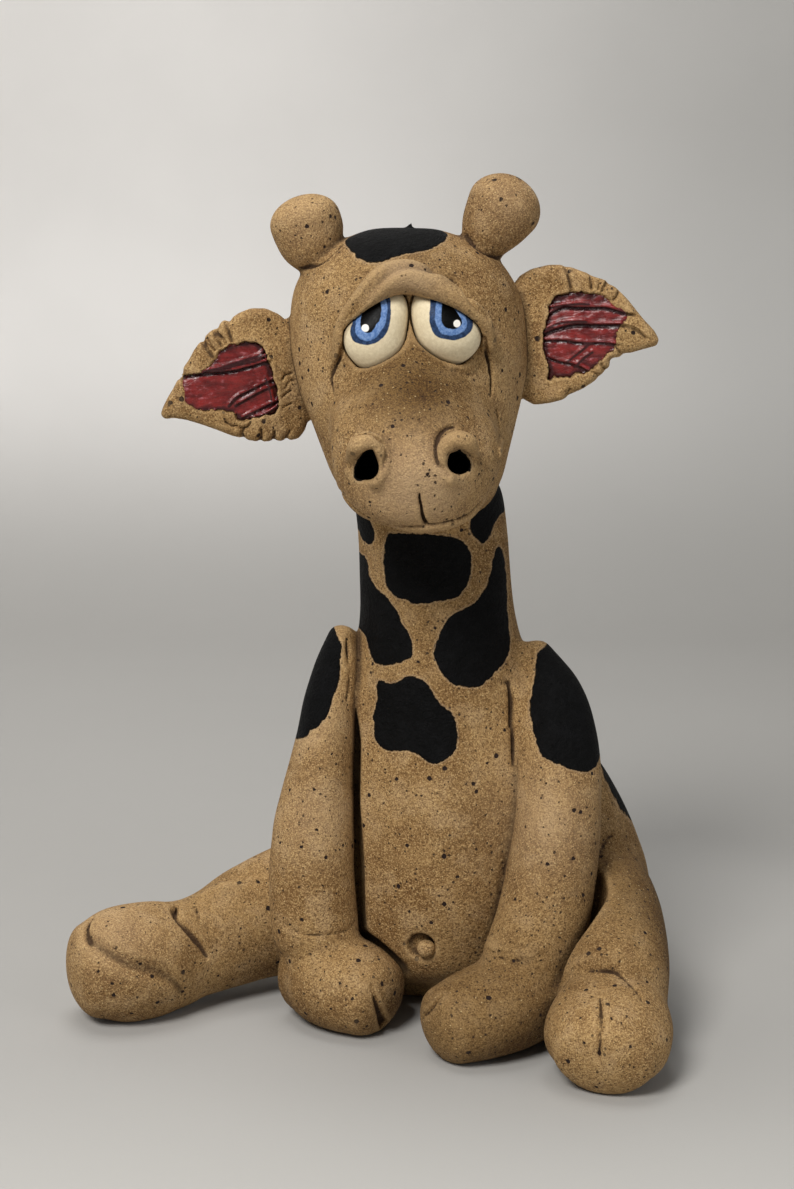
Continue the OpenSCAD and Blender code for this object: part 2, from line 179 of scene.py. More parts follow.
LEFT_NOSTRIL, RIGHT_NOSTRIL = (5.5, -46, 136.1), (-14.2, -46, 135.6)
LEFT_EAR = [(18, 3, 157.5, 11, 3.2), (24, 1, 160.4, 15.2, 4), (31, -1, 161.7, 15.3, 4),
            (38, -2, 162.4, 12.4, 3.8), (44, -3, 163.4, 8, 3.4), (49, -4, 161.8, 3.9, 2.8)]
RIGHT_EAR = [(-28, 3, 152.5, 11, 3.2), (-34, 1, 152, 14, 4), (-40, -1, 151.8, 15.3, 4),
             (-47.5, -2, 151.2, 13, 3.8), (-54.5, -3, 149, 8.4, 3.4),
             (-59.7, -4, 145, 3.4, 2.8)]
LEFT_HORN = [(9, 0, 173, 5, 5), (11.5, -1, 180, 4.7, 4.9), (13.8, -1.5, 185, 7.1, 7.2),
             (17, -2, 190.4, 8.9, 8.6)]
RIGHT_HORN = [(-21, 0, 171, 5.5, 5.5), (-24.4, -1, 177.6, 5.6, 5.6),
              (-27.2, -1.5, 182.3, 8.1, 8), (-29, -2, 187.4, 8.7, 8.5)]
LEFT_FRONT = [
    (24.5, -1, 85.6, 4.8, 5.5), (26.2, -4.5, 81, 6.9, 7.6), (28.4, -9, 75, 8.9, 8.8),
    (29.8, -13, 67, 9.8, 9.6), (30.2, -17, 58, 10, 10), (29.6, -20.5, 48, 10.1, 10),
    (28, -24, 37, 10.6, 10), (25.5, -27.5, 27, 10.8, 10), (22, -31, 19, 10.5, 9.5)]
RIGHT_FRONT = [
    (-20.6, 0, 90, 3.4, 4.8), (-22.2, -3, 83, 5.1, 6.6), (-23.9, -6, 75, 6.1, 8),
    (-25, -8.5, 66, 6.9, 9), (-26.6, -11, 55, 8.3, 9.6), (-27.8, -13.5, 43, 9.8, 10),
    (-28, -15, 32, 10.3, 10), (-27.2, -16.5, 21, 10.1, 9.5)]
LEFT_FRONT_HOOF = [(24, -30, 11, 10.5, 11), (17, -35, 10.4, 12, 11), (9.5, -39.5, 9.4, 11.5, 10),
                   (4, -42.5, 8.4, 9.5, 9)]
RIGHT_FRONT_HOOF = [(-27.4, -14, 10.6, 10.5, 11), (-23, -18.5, 10.2, 12.5, 11),
                    (-18, -23, 9.4, 12, 10.4), (-13.5, -26.5, 8.4, 10, 9.2)]
LEFT_HIND = [(38, 8, 22.5, 15, 17), (41, -6, 22.5, 14.5, 17), (42, -18, 21.5, 13.8, 15.5),
             (42, -30, 18.5, 13, 14), (41, -40, 15, 12.5, 13)]
RIGHT_HIND = [(-20, 14, 20, 15, 17), (-32, 8, 19, 13, 16.5), (-43, 2, 17, 11.5, 14.5),
              (-52, -3, 14.5, 11, 12.5), (-60, -8, 13, 11, 12)]
LEFT_HIND_HOOF = [(41, -42, 11.2, 12.5, 11.6), (39.5, -50, 10.6, 14.1, 11.4),
                  (38, -57, 9.8, 13.7, 10.6), (37, -61, 8.8, 11.5, 9.4)]
RIGHT_HIND_HOOF = [(-60.5, -9, 12.6, 11, 12.8), (-67, -13, 13, 13, 14),
                   (-74.5, -17, 13, 13, 13.8), (-80.5, -19.5, 12.4, 10.5, 11.4)]
TAIL = [(11, 32, 36, 4, 4), (13, 34.6, 29, 3.4, 3.4), (16, 35.4, 21, 3, 3), (21.5, 35, 13.5, 3, 3),
        (28.5, 33, 8, 2.7, 2.7), (35, 30, 5, 2.5, 2.5)]
TUFT = [(36, 29.4, 4.4, 3.2, 3.4), (41, 27, 5, 4.8, 5), (46, 23.5, 5.2, 4.6, 4.8),
        (49.5, 19.5, 4.4, 2.6, 3.2)]
NAVEL, NAVEL_R, NAVEL_DEPTH = np.array([-2, -24.2, 20]), 3.1, 3
BEAD, BEAD_R = NAVEL + [1.1, 1.2, -0.8], 2.17
VENT_X, VENT_Y, VENT_R = 24, 12, 1.5
NOSTRIL_DEPTH, NOSTRIL_FALL = 11, 0.12


def eye(rows):
    widest = max(r[2] for r in rows)
    return upright([(z, x, EYE_Y, w, EYE_BULGE * w / widest) for z, x, w in rows], 40, 64)


def hoof(rows):
    way = np.subtract(rows[-1][:2], rows[0][:2])
    return coil(rows, unit(np.array([-way[1], way[0], 0.0])), 7, 5)


def rim(place, turn):
    rows = []
    for a in range(60, 236, 35):
        c, s = math.cos(math.radians(a)), math.sin(math.radians(a))
        rows.append((place[0] + turn * 3.6 * c, place[1] + 1.2, place[2] + 0.6 + 4.6 * s,
                     2.2, 1.2 + 0.7 * max(0, s)))
    return coil(rows, Y, 1.8, 1.8)


FORMS = {
    "torso_shell": upright(TORSO, 90, 128, (1, 19)), "head_shell": upright(HEAD, 80, 112),
    "muzzle": upright(MUZZLE), "lower_lip": coil(LIP, Z, 2, 2), "brow_fold": coil(BROW, Y, 2.5, 2.5),
    "left_nostril_rim": rim(LEFT_NOSTRIL, 1), "right_nostril_rim": rim(RIGHT_NOSTRIL, -1),
    "left_ear": coil(LEFT_EAR, Z, 2, 3.6, X), "right_ear": coil(RIGHT_EAR, Z, 2, 3.6, -X),
    "left_horn": coil(LEFT_HORN, X, 2, 7.6), "right_horn": coil(RIGHT_HORN, X, 2, 6.4),
    "left_front_leg": coil(LEFT_FRONT, X, 2, 7), "right_front_leg": coil(RIGHT_FRONT, X, 2, 7),
    "left_front_hoof": hoof(LEFT_FRONT_HOOF), "right_front_hoof": hoof(RIGHT_FRONT_HOOF),
    "left_hind_leg": coil(LEFT_HIND, X, 6, 6),
    "right_hind_leg": coil(RIGHT_HIND, unit(np.array([1.0, 2, 0])), 6, 6),
    "left_hind_hoof": hoof(LEFT_HIND_HOOF), "right_hind_hoof": hoof(RIGHT_HIND_HOOF),
    "tail": coil(TAIL, Z, 2, 1.5), "tail_tuft": coil(TUFT, Z, 2, 2.5),
    "left_eye": eye(LEFT_EYE), "right_eye": eye(RIGHT_EYE)}


# ---- Distance fields -------------------------------------------------------------------------

def smin(a, b, k):
    """Smooth minimum, rounded over k mm."""
    h = np.clip(0.5 + 0.5 * (b - a) / k, 0, 1)
    return b + (a - b) * h - k * h * (1 - h)


def smax(a, b, k):
    return -smin(-a, -b, k)


def blurred(f, sigma):
    """Gaussian blur, sigma in cells, with the edge cells repeated."""
    reach = max(1, int(3 * sigma))
    w = np.exp(-0.5 * (np.arange(-reach, reach + 1) / sigma) ** 2)
    w = (w / w.sum()).astype(np.float32)
    for axis in range(3):
        pad = [(0, 0)] * 3
        pad[axis] = (reach, reach)
        g = np.pad(f, pad, mode="edge")
        n = f.shape[axis]
        f = sum(w[i] * g[tuple(slice(i, i + n) if d == axis else slice(None) for d in range(3))]
                for i in range(2 * reach + 1))
    return f


class Block:
    """A box of field values: lo is the lattice index of its first value, h the step in mm."""

    def __init__(self, lo, shape, h, values=None):
        self.lo, self.h = np.asarray(lo, int), h
        self.f = np.full(shape, BAND, np.float32) if values is None else values

    @property
    def hi(self):
        return self.lo + self.f.shape

    def window(self, low, high):
        """Slices and coordinates of the cells between two corners in mm."""
        a = np.maximum(np.floor(np.asarray(low) / self.h).astype(int), self.lo) - self.lo
        b = np.minimum(np.ceil(np.asarray(high) / self.h).astype(int) + 1, self.hi) - self.lo
        if np.any(b <= a):
            return None
        cells = [np.arange(a[d], b[d]) for d in range(3)]
        grid = np.ix_(*[((c + self.lo[d]) * self.h).astype(np.float32) for d, c in enumerate(cells)])
        return tuple(slice(a[d], b[d]) for d in range(3)), grid

    def at(self, points, values=None):
        """Trilinear value at points in mm."""
        f = self.f if values is None else values
        q = np.clip(np.asarray(points) / self.h - self.lo, 0, np.array(f.shape) - 1.001)
        i = q.astype(int)
        t = q - i
        out = 0
        for dx in (0, 1):
            for dy in (0, 1):
                for dz in (0, 1):
                    w = (np.abs(1 - dx - t[..., 0]) * np.abs(1 - dy - t[..., 1])
                         * np.abs(1 - dz - t[..., 2]))
                    out = out + w * f[i[..., 0] + dx, i[..., 1] + dy, i[..., 2] + dz]
        return out

    def inward(self, p):
        """Direction into the clay at p."""
        e = 0.8
        g = np.array([self.at(p + e * d) - self.at(p - e * d) for d in (X, Y, Z)])
        return -g / (np.linalg.norm(g) + 1e-9)

    def touch(self, start, way):
        """First surface point from start along way."""
        start, way = np.asarray(start, float), unit(np.asarray(way, float))
        t = np.arange(0, 160, 0.2)
        v = self.at(start + t[:, None] * way)
        i = int(np.argmax(v < 0))
        if i == 0:
            raise ValueError(f"nothing in front of {start}")
        return start + way * (t[i - 1] + 0.2 * v[i - 1] / (v[i - 1] - v[i]))

    def front(self, x, z):
        """The clay seen from the front at (x, z), or the nearest place beside it."""
        for step in np.arange(0, 6, 0.3):
            for dx, dz in ((0, 0), (1, 0), (-1, 0), (0, -1), (0, 1), (0.7, -0.7), (-0.7, -0.7)):
                start = (x + dx * step, self.lo[1] * self.h + 0.6, z + dz * step)
                try:
                    return self.touch(start, Y)
                except ValueError:
                    continue
        raise ValueError(f"nothing near {x} {z}")


LOW = np.floor((np.array(CAD_BOX[0]) / MM - BAND - 1) / H).astype(int)
HIGH = np.ceil((np.array(CAD_BOX[1]) / MM + BAND + 1) / H).astype(int)


def form_field(name, h=H, low=LOW, high=HIGH):
    """A form's distance field, on the lattice between two indices."""
    points, tris = FORMS[name]
    grid = vdb.FloatGrid.createLevelSetFromPolygons(
        points.astype(np.float32), triangles=tris.astype(np.uint32),
        transform=vdb.createLinearTransform(voxelSize=h), halfWidth=BAND / h)
    lo = np.maximum(np.floor((points.min(0) - BAND) / h).astype(int), low)
    hi = np.minimum(np.ceil((points.max(0) + BAND) / h).astype(int) + 1, high)
    f = np.empty(tuple(hi - lo), np.float32)
    grid.copyToArray(f, ijk=tuple(int(v) for v in lo))
    return Block(lo, None, h, f)


def shared(a, b):
    """Slices of the cells that two blocks have in common, in each of them."""
    lo, hi = np.maximum(a.lo, b.lo), np.minimum(a.hi, b.hi)
    return (tuple(slice(l, m) for l, m in zip(lo - a.lo, hi - a.lo)),
            tuple(slice(l, m) for l, m in zip(lo - b.lo, hi - b.lo)))


def join(target, part, k, k_top=None):
    """Smooth union; k may grow to k_top at shoulder height."""
    s, t = shared(target, part)
    if k_top:
        z = ((np.arange(target.f.shape[2]) + target.lo[2]) * H)[s[2]]
        k = (k + (k_top - k) * np.clip((z - SHOULDER_FROM) / SHOULDER_OVER, 0, 1)).astype(np.float32)
    target.f[s] = smin(target.f[s], part.f[t], k)


SOFTEN = {"torso_shell": 1.2, "head_shell": 1.6, "muzzle": 1.4, "left_horn": 0.8, "right_horn": 0.8,
          "left_ear": 0.7, "right_ear": 0.7}
fields = {}
for name in FORMS:
    fields[name] = form_field(name)
    sigma = SOFTEN.get(name, 0.6 if "hoof" in name or "leg" in name else 0)
    if sigma:
        fields[name].f = blurred(fields[name].f, sigma / H)


def part_from(name, other, wide, top, fade):
    """Opens a gap of wide mm in one form where another lies on it, up to a height."""
    one, two = fields[name], fields[other]
    s, t = shared(one, two)
    z = ((np.arange(one.f.shape[2]) + one.lo[2]) * H)[s[2]]
    g = wide * np.clip((top - z) / fade, 0, 1)
    one.f[s] = np.where(g > 0, smax(one.f[s], g - two.f[t], 0.4), one.f[s])


for part in ("right_front_leg", "right_front_hoof"):
    part_from("torso_shell", part, 2.3, 82, 16)
    part_from("right_hind_leg", part, 1.6, 50, 4)
for part in ("left_front_leg", "left_front_hoof"):
    part_from("torso_shell", part, 0.7, 60, 20)
    part_from("left_hind_leg", part, 2.8, 48, 14)
    part_from("left_hind_hoof", part, 2, 46, 6)
part_from("torso_shell", "left_front_hoof", 1.4, 30, 10)

BODY_JOINS = [("torso_shell", 1), ("left_hind_leg", 3), ("right_hind_leg", 3),
              ("left_front_leg", 0.6), ("right_front_leg", 0.5), ("left_hind_hoof", 1.6),
              ("right_hind_hoof", 1.6), ("left_front_hoof", 2.5), ("right_front_hoof", 2.5),
              ("tail", 1), ("tail_tuft", 0.6)]
HEAD_JOINS = [("head_shell", 1), ("muzzle", 5), ("brow_fold", 2), ("lower_lip", 0.6),
              ("left_nostril_rim", 1.6), ("right_nostril_rim", 1.6), ("left_horn", 0.5),
              ("right_horn", 0.5), ("left_ear", 0.8), ("right_ear", 0.8)]
clay = Block(LOW, tuple(HIGH - LOW), H)
for name, k in BODY_JOINS:
    join(clay, fields[name], k, 3 if name == "left_front_leg" else None)
top_lo = np.array([LOW[0], LOW[1], int(105 / H)])
head = Block(top_lo, tuple(HIGH - top_lo), H)
for name, k in HEAD_JOINS:
    join(head, fields[name], k)
join(clay, head, 1)

# which form each cell is nearest to, and how far the next one is
nearest = Block(LOW, clay.f.shape, H)
second = Block(LOW, clay.f.shape, H)
owner = np.full(clay.f.shape, -1, np.int8)
NODES = [n for n, _ in BODY_JOINS + HEAD_JOINS]
for i, name in enumerate(NODES):
    s, t = shared(nearest, fields[name])
    f, n1, n2 = fields[name].f[t], nearest.f[s], second.f[s]
    first = f < n1
    second.f[s] = np.where(first, n1, np.minimum(n2, f))
    nearest.f[s] = np.where(first, f, n1)
    owner[s][first] = i


def lumps(step, amount):
    """Smooth random unevenness, with a feature about every step mm."""
    out = rng.standard_normal([int(n * H / step) + 4 for n in clay.f.shape])
    for axis, n in enumerate(clay.f.shape):
        weights = spline(n, H / step, 1.0, out.shape[axis])
        out = np.moveaxis(np.tensordot(weights, out, (1, axis)), 0, axis)
    return (amount * out).astype(np.float32)


def spline(n, step, start=0.0, size=None):
    """Cubic B-spline weights that read n values, step apart, from a coarser row."""
    t = start + step * np.arange(n)
    i = np.floor(t).astype(int)
    f = t - i
    size = size or int(t[-1]) + 4
    w = np.zeros((n, size))
    parts = [(1 - f) ** 3, 3 * f ** 3 - 6 * f ** 2 + 4, -3 * f ** 3 + 3 * f ** 2 + 3 * f + 1, f ** 3]
    for k, p in enumerate(parts):
        w[np.arange(n), np.clip(i - 1 + k, 0, size - 1)] += p / 6
    return w


clay.f += lumps(11.0, 0.42) + lumps(4.5, 0.16)
clay.f = blurred(clay.f, 0.9)


def refine(low, high, h, source=None):
    """The joined clay inside a box, on a finer lattice."""
    src = source or clay
    lo = np.floor(np.asarray(low) / h).astype(int)
    n = np.ceil(np.asarray(high) / h).astype(int) - lo + 1
    out = src.f.astype(np.float32)
    for axis in range(3):
        w = spline(n[axis], h / H, lo[axis] * h / H - src.lo[axis], src.f.shape[axis])
        keep = np.flatnonzero(w.any(0))
        rows = np.moveaxis(out, axis, 0)[keep[0]:keep[-1] + 1]
        shape = rows.shape[1:]
        rows = w[:, keep[0]:keep[-1] + 1].astype(np.float32) @ rows.reshape(rows.shape[0], -1)
        out = np.moveaxis(rows.reshape((n[axis],) + shape), 0, axis)
    return Block(lo, None, h, np.ascontiguousarray(out))


# ---- Carving ---------------------------------------------------------------------------------

def tube(block, points, radii, k=0.2, raised=False):
    """Cuts a tube along points out of the block, or adds it."""
    points = np.asarray(points, float)
    radii = np.broadcast_to(radii, len(points))
    reach = radii.max() + 4 * k + block.h
    win = block.window(points.min(0) - reach, points.max(0) + reach)
    if win is None:
        return
    s, (x, y, z) = win
    best = None
    for a, b, ra, rb in zip(points[:-1], points[1:], radii[:-1], radii[1:]):
        ab = b - a
        t = ((x - a[0]) * ab[0] + (y - a[1]) * ab[1] + (z - a[2]) * ab[2]) / max(ab @ ab, 1e-6)
        t = np.clip(t, 0, 1)
        d = np.sqrt((x - a[0] - t * ab[0]) ** 2 + (y - a[1] - t * ab[1]) ** 2
                    + (z - a[2] - t * ab[2]) ** 2) - (ra + (rb - ra) * t)
        best = d if best is None else np.minimum(best, d)
    block.f[s] = smin(block.f[s], best, k) if raised else smax(block.f[s], -best, k)


def smooth_path(points, n):
    return refined(points, n * (len(points) - 1))


def on_front(points, source=None):
    """Points (x, z) laid on the clay as seen from the front."""
    return [(source or clay).front(x, z) for x, z in points]


def crease(points, radius, depth, k=0.2, source=None, bend=4):
    """A cut along surface points, as deep as depth; radius may taper."""
    path = smooth_path(points, bend)
    radii = smooth_path(np.atleast_2d(np.broadcast_to(radius, len(points))).T, bend)[:, 0]
    ways = np.array([(source or clay).inward(p) for p in path])
    ways = unit(ways + ways.mean(0))
    step = max(0.6 * radii.max(), 0.2)
    return [(path + ways * d, radii * (1 - 0.35 * d / max(depth, 0.01)), k)
            for d in np.arange(0, depth + 1e-6, step)]


def outline_distance(x, z, outline):
    """Signed distance in mm from a closed outline, negative inside."""
    pts = np.asarray(outline, float)
    best, inside = None, np.zeros(np.broadcast(x, z).shape, bool)
    for (ax, az), (bx, bz) in zip(pts, np.roll(pts, -1, 0)):
        dx, dz = bx - ax, bz - az
        t = np.clip(((x - ax) * dx + (z - az) * dz) / (dx * dx + dz * dz + 1e-9), 0, 1)
        d = (x - ax - t * dx) ** 2 + (z - az - t * dz) ** 2
        best = d if best is None else np.minimum(best, d)
        crosses = (az > z) != (bz > z)
        inside ^= crosses & (x < ax + (z - az) * dx / (dz if abs(dz) > 1e-9 else 1e-9))
    return np.where(inside, -1, 1) * np.sqrt(best)


def rounded(outline, n=4):
    """A closed outline with its corners rounded by a curve through its points."""
    pts = list(outline)
    fine = refined([pts[-1]] + pts + [pts[0], pts[1]], n * (len(pts) + 2))
    return fine[n:-n]


NOSTRILS = [
    [(-13.1, 138.9), (-14.6, 138.3), (-15.7, 136.9), (-16.5, 135.2), (-16.8, 133.4),
     (-16.2, 132.6), (-14.5, 132.3), (-12.9, 132.6), (-12, 133.6), (-11.65, 135), (-12, 136.4),
     (-12.6, 138)],
    [(4.4, 138.4), (5.6, 138.5), (6.6, 137.7), (7.5, 136.8), (7.9, 135.9), (7.7, 135),
     (7.2, 134.2), (6, 133.6), (4.8, 133.7), (3.6, 134.4), (3, 135.5), (3.1, 137), (3.5, 138)]]


def hole(block, outline, depth):
    """Sinks an outline into the clay from the front, falling towards the back."""
    mid = np.mean(outline, 0)
    y0 = clay.front(*mid)[1]
    low, high = np.min(outline, 0) - 2, np.max(outline, 0) + 2
    win = block.window((low[0], y0 - 6, low[1]), (high[0], y0 + depth + 2, high[1]))
    if win is None:
        return
    s, (x, y, z) = win
    inner = outline_distance(x, z + NOSTRIL_FALL * (y - y0), rounded(outline))
    block.f[s] = smax(block.f[s], -np.maximum(inner, y - y0 - depth), 0.7)


CUTS, RIDGES, PITS = [], [], []


def cut(points, radius, depth, k=0.2):
    """A crease through (x, z) points of the front."""
    CUTS.extend(crease(on_front(points), radius, depth, k))


def ridge(points, radius, sink, k=0.6):
    """A roll of clay laid through (x, z) points of the front and sunk into it."""
    path = smooth_path(on_front(points), 4)
    ways = np.array([clay.inward(p) for p in path])
    radii = smooth_path(np.atleast_2d(np.broadcast_to(radius, len(points))).T, 4)[:, 0]
    RIDGES.append((path + ways * sink, radii, k))


def pit(x, z, r):
    p = clay.front(x, z)
    PITS.append((p - clay.inward(p) * 0.2 * r, r))


# face: folds beside the eyes, under them, on the bridge, and round the mouth
cut([(-20, 159.6), (-20.6, 157.4), (-21.6, 155.4), (-22.5, 153.3), (-22.8, 152), (-22.4, 150.2),
     (-22.1, 148.4)], [0.5, 0.5, 0.45, 0.5, 0.45, 0.35, 0.2], 1.1)
cut([(-21.6, 155.9), (-22.6, 154.3), (-23.2, 152.6)], [0.2, 0.35, 0.2], 0.5)
cut([(11.6, 161.6), (12.2, 159.1), (12.7, 157), (13.2, 154.9), (13.5, 152.4), (13.5, 149.8),
     (13.3, 148.4)], [0.5, 0.5, 0.55, 0.6, 0.45, 0.35, 0.2], 1.2)
cut([(14.8, 145.6), (15.2, 143.4), (15.5, 141.4)], [0.25, 0.5, 0.3], 0.9)
# upper edge of the brow fold
cut([(-20, 163.5), (-17.5, 167.5), (-14, 172), (-9.5, 176.5), (-5.5, 178), (-0.5, 177),
     (4.5, 174), (9, 170), (12.5, 166.5)], [0.5, 0.9, 1, 1, 1, 1, 1, 0.9, 0.5], 0.2, 1.6)
cut([(-18.2, 151.2), (-16.4, 152), (-14.6, 152.7)], [0.15, 0.25, 0.15], 0.3)
cut([(3.5, 155), (6.5, 154.2), (8.9, 153.7), (10.5, 154.8), (11.3, 156.6)],
    [0.15, 0.25, 0.3, 0.25, 0.15], 0.35)
cut([(-3.2, 145.6), (-2.9, 144.8), (-2.3, 144)], [0.2, 0.35, 0.15], 0.35)
ridge([(4, 155.6), (7, 155.3), (9.8, 156.2)], 0.9, 0.7)
# slit of the upper lip
cut([(-3.05, 129.7), (-2.9, 128.6), (-2.67, 127.1), (-2.45, 125.7), (-2.15, 124.1),
     (-1.75, 123), (-1.3, 122.4)], [0.18, 0.28, 0.33, 0.36, 0.42, 0.5, 0.45], 1.5)
# outer edges of the nostril flaps
cut([(-17, 142), (-15, 142.5), (-13.5, 142.5), (-12, 141.5), (-10.5, 140.5), (-10, 139),
     (-10, 137.5), (-10.5, 136), (-11, 134.5)],
    [0.2, 0.3, 0.42, 0.5, 0.5, 0.5, 0.45, 0.35, 0.2], 0.8, 0.35)
cut([(4.5, 143.5), (2.5, 143), (1, 141.5), (0.5, 139.5), (0.5, 138), (1, 136),
     (2, 135), (3.5, 133.5)], [0.2, 0.35, 0.4, 0.45, 0.45, 0.4, 0.35, 0.2], 0.6, 0.5)
# nostril flaps rolled over towards the sides, a crumb at one mouth corner, horn seams
ridge([(-18.5, 133.5), (-18, 136.5), (-17, 139), (-15, 140.5), (-13, 140.5),
       (-11.5, 138.5)], [0.7, 1.3, 1.6, 1.6, 1.4, 0.9], 0.5, 1.2)
ridge([(1.5, 137), (2, 139.5), (4, 141), (6.5, 141), (8.5, 139.5), (9.5, 137.5)],
      [0.7, 1.3, 1.6, 1.6, 1.4, 0.8], 0.5, 1.2)
ridge([(14.6, 137.4), (15.8, 138.2)], [0.6, 0.45], -0.1, 0.6)
cut([(-31.5, 176), (-28.5, 177), (-25, 178), (-22, 180.5), (-20, 182.5)],
    [0.25, 0.4, 0.4, 0.4, 0.3], 0.5, 0.4)
cut([(8, 184.5), (10, 181.5), (12.5, 180), (15, 179), (17, 179.5)],
    [0.3, 0.4, 0.4, 0.35, 0.25], 0.5, 0.4)
# mouth line with its open corners
cut([(-21.3, 129.6), (-20, 127.8), (-18, 125.8), (-15.6, 124.2), (-13, 122.9), (-10, 122),
     (-6.5, 121.7), (-3, 121.8), (0, 122.3), (4, 122.8), (8, 124), (10.6, 126.4)],
    [0.7, 0.8, 0.6, 0.45, 0.4, 0.36, 0.34, 0.34, 0.36, 0.36, 0.4, 0.5], 0.9)
cut([(14.3, 131.4), (14.9, 133.4), (15.3, 135.4)], [0.5, 0.7, 0.4], 1.2)
ridge([(14.6, 136.3), (15.6, 137.3), (16.2, 138.4)], [0.6, 0.7, 0.5], -0.1, 0.5)
cut([(6.9, 132.8), (7.5, 132.1), (8, 131.4)], [0.12, 0.2, 0.12], 0.3, 0.1)
cut([(-7.8, 131.1), (-7.1, 130.9), (-6.4, 130.5)], [0.1, 0.15, 0.1], 0.2, 0.1)
for x, z, r in [(-0.85, 133.4, 0.42), (3, 133.5, 0.4), (0.1, 130.4, 0.33), (-2, 140.2, 0.36),
                (0.2, 172.7, 0.45), (10.8, 173.2, 0.35), (-27.7, 170.4, 0.3), (9.1, 71.2, 0.45),
                (-19.8, 54, 0.4), (-30.4, 52.8, 0.55), (-24.7, 28.5, 0.4), (38.5, 18.3, 0.5),
                (-65.9, 22.6, 0.35), (-49.6, 28.6, 0.45), (5.3, 50.9, 0.4), (7.2, 45.6, 0.35),
                (24.8, 36, 0.4), (-1.1, 41.6, 0.35), (8.9, 60.5, 0.35), (25.6, 3.6, 0.5)]:
    try:
        pit(x, z, r)
    except ValueError:
        pass
cut([(40.4, 38.4), (41.6, 40.2), (43.2, 41.6), (45.2, 42.3)], [0.3, 0.4, 0.35, 0.15], 0.7, 0.4)
# shoulders: a strip of clay folded over on one side, a ledge on the other
ridge([(-20.6, 90.6), (-21.1, 88), (-20.8, 85.4), (-19.8, 83.2)], [0.7, 1, 1, 0.6], 0.3)
cut([(-19.6, 89.8), (-19.4, 87.2), (-19.2, 84.8)], [0.25, 0.5, 0.3], 1.0)
cut([(-18.9, 82.4), (-19, 79.6), (-19.5, 76.5)], [0.2, 0.35, 0.4], 0.7)
cut([(15.4, 80.6), (17.6, 80.9), (19.4, 81.4)], [0.25, 0.45, 0.4], 0.7)
cut([(18.6, 81), (19, 77), (18.9, 72), (19.3, 67), (19.2, 62)], [0.4, 0.6, 0.5, 0.4, 0.2], 1.5)
# wrists, legs and hooves
cut([(-33, 24.5), (-29, 23.6), (-24.5, 23.3), (-20.5, 23.4), (-18, 24)],
    [0.2, 0.35, 0.38, 0.35, 0.25], 0.45, 0.14)
cut([(-36.6, 25.8), (-33.6, 25.2), (-30, 24.7)], [0.15, 0.28, 0.15], 0.3, 0.12)
cut([(12.4, 25), (15.8, 23.4), (19, 22.6), (22.4, 22.8), (25.6, 24.2)],
    [0.15, 0.3, 0.38, 0.35, 0.2], 0.5, 0.2)
cut([(34.6, 54), (34, 50.5), (33.2, 46.8)], [0.12, 0.24, 0.12], 0.25, 0.1)
cut([(13, 23.2), (17, 22), (21, 21.6), (25, 22.4)], [0.15, 0.3, 0.3, 0.15], 0.3, 0.2)
cut([(16, 26.6), (19.5, 25.4), (23, 25)], [0.12, 0.25, 0.12], 0.25, 0.2)
cut([(-13.9, 14.2), (-12.9, 11), (-12, 8), (-11.3, 5), (-10.8, 2.4)],
    [0.2, 0.45, 0.75, 1.0, 1.3], 1.4, 0.3)
ridge([(-12.9, 13.4), (-11.6, 10), (-10.4, 6.4), (-9.5, 3.4)], [0.3, 0.5, 0.6, 0.6], 0.2, 0.4)
cut([(2.3, 16.4), (0.7, 14.5), (-0.7, 12.2), (-2.2, 9.4)], [0.15, 0.35, 0.4, 0.2], 0.6, 0.25)
cut([(34.8, 22.5), (38.4, 23), (41.4, 22.6), (44.6, 21), (45.9, 19.4)],
    [0.2, 0.4, 0.45, 0.4, 0.2], 0.7, 0.3)
cut([(36.3, 20.8), (35.9, 17.7), (35.6, 14.6), (35.2, 9)], [0.2, 0.5, 0.4, 0.2], 0.8, 0.3)
cut([(-81.2, 26), (-80.9, 23.9), (-79.8, 21.4)], [0.35, 0.5, 0.25], 0.9, 0.3)
cut([(-80.4, 22.6), (-76, 20.4), (-70, 17.2), (-64, 14.8), (-60, 11), (-58.4, 7)],
    [0.6, 1.1, 1.4, 1.6, 1.2, 0.5], 0.1, 2)
cut([(-61, 26.5), (-60, 24.5), (-57.5, 22), (-54.5, 18), (-53, 15)],
    [0.7, 1, 1, 0.7, 0.3], 1.2, 0.9)
cut([(-60.5, 26.5), (-60, 24.5), (-57.5, 22)], [0.3, 0.5, 0.25], 1.8, 0.2)
cut([(-58.5, 26.5), (-56.5, 25), (-55, 23), (-53, 21), (-51, 18.5)],
    [0.2, 0.4, 0.3, 0.22, 0.12], 0.6)
ridge([(-55.5, 26), (-52.5, 27), (-49, 28), (-45, 28.5)], [0.8, 1.8, 1.9, 0.8], 0.7, 1.6)


def carve(block):
    """Adds the ridges, then makes the cuts, pits, nostrils, navel and flat seat."""
    for points, radii, k in RIDGES:
        tube(block, points, radii, k, raised=True)
    for points, radii, k in CUTS:
        tube(block, points, radii, k)
    for p, r in PITS:
        tube(block, [p, p + (0, 0.05, 0)], r, 0.15)
    for outline in NOSTRILS:
        hole(block, outline, NOSTRIL_DEPTH)
    win = block.window(NAVEL - 6, NAVEL + 6)
    if win:
        s, (x, y, z) = win
        well = np.maximum(np.hypot(x - NAVEL[0], z - NAVEL[2]) - NAVEL_R, y - NAVEL[1] - NAVEL_DEPTH)
        block.f[s] = smax(block.f[s], -well, 0.9)
    floor = ((np.arange(block.f.shape[2]) + block.lo[2]) * block.h).astype(np.float32)
    if floor[0] < 3:
        block.f = smax(block.f, np.broadcast_to(-floor, block.f.shape), 0.9)


# ---- Painted outlines ------------------------------------------------------------------------

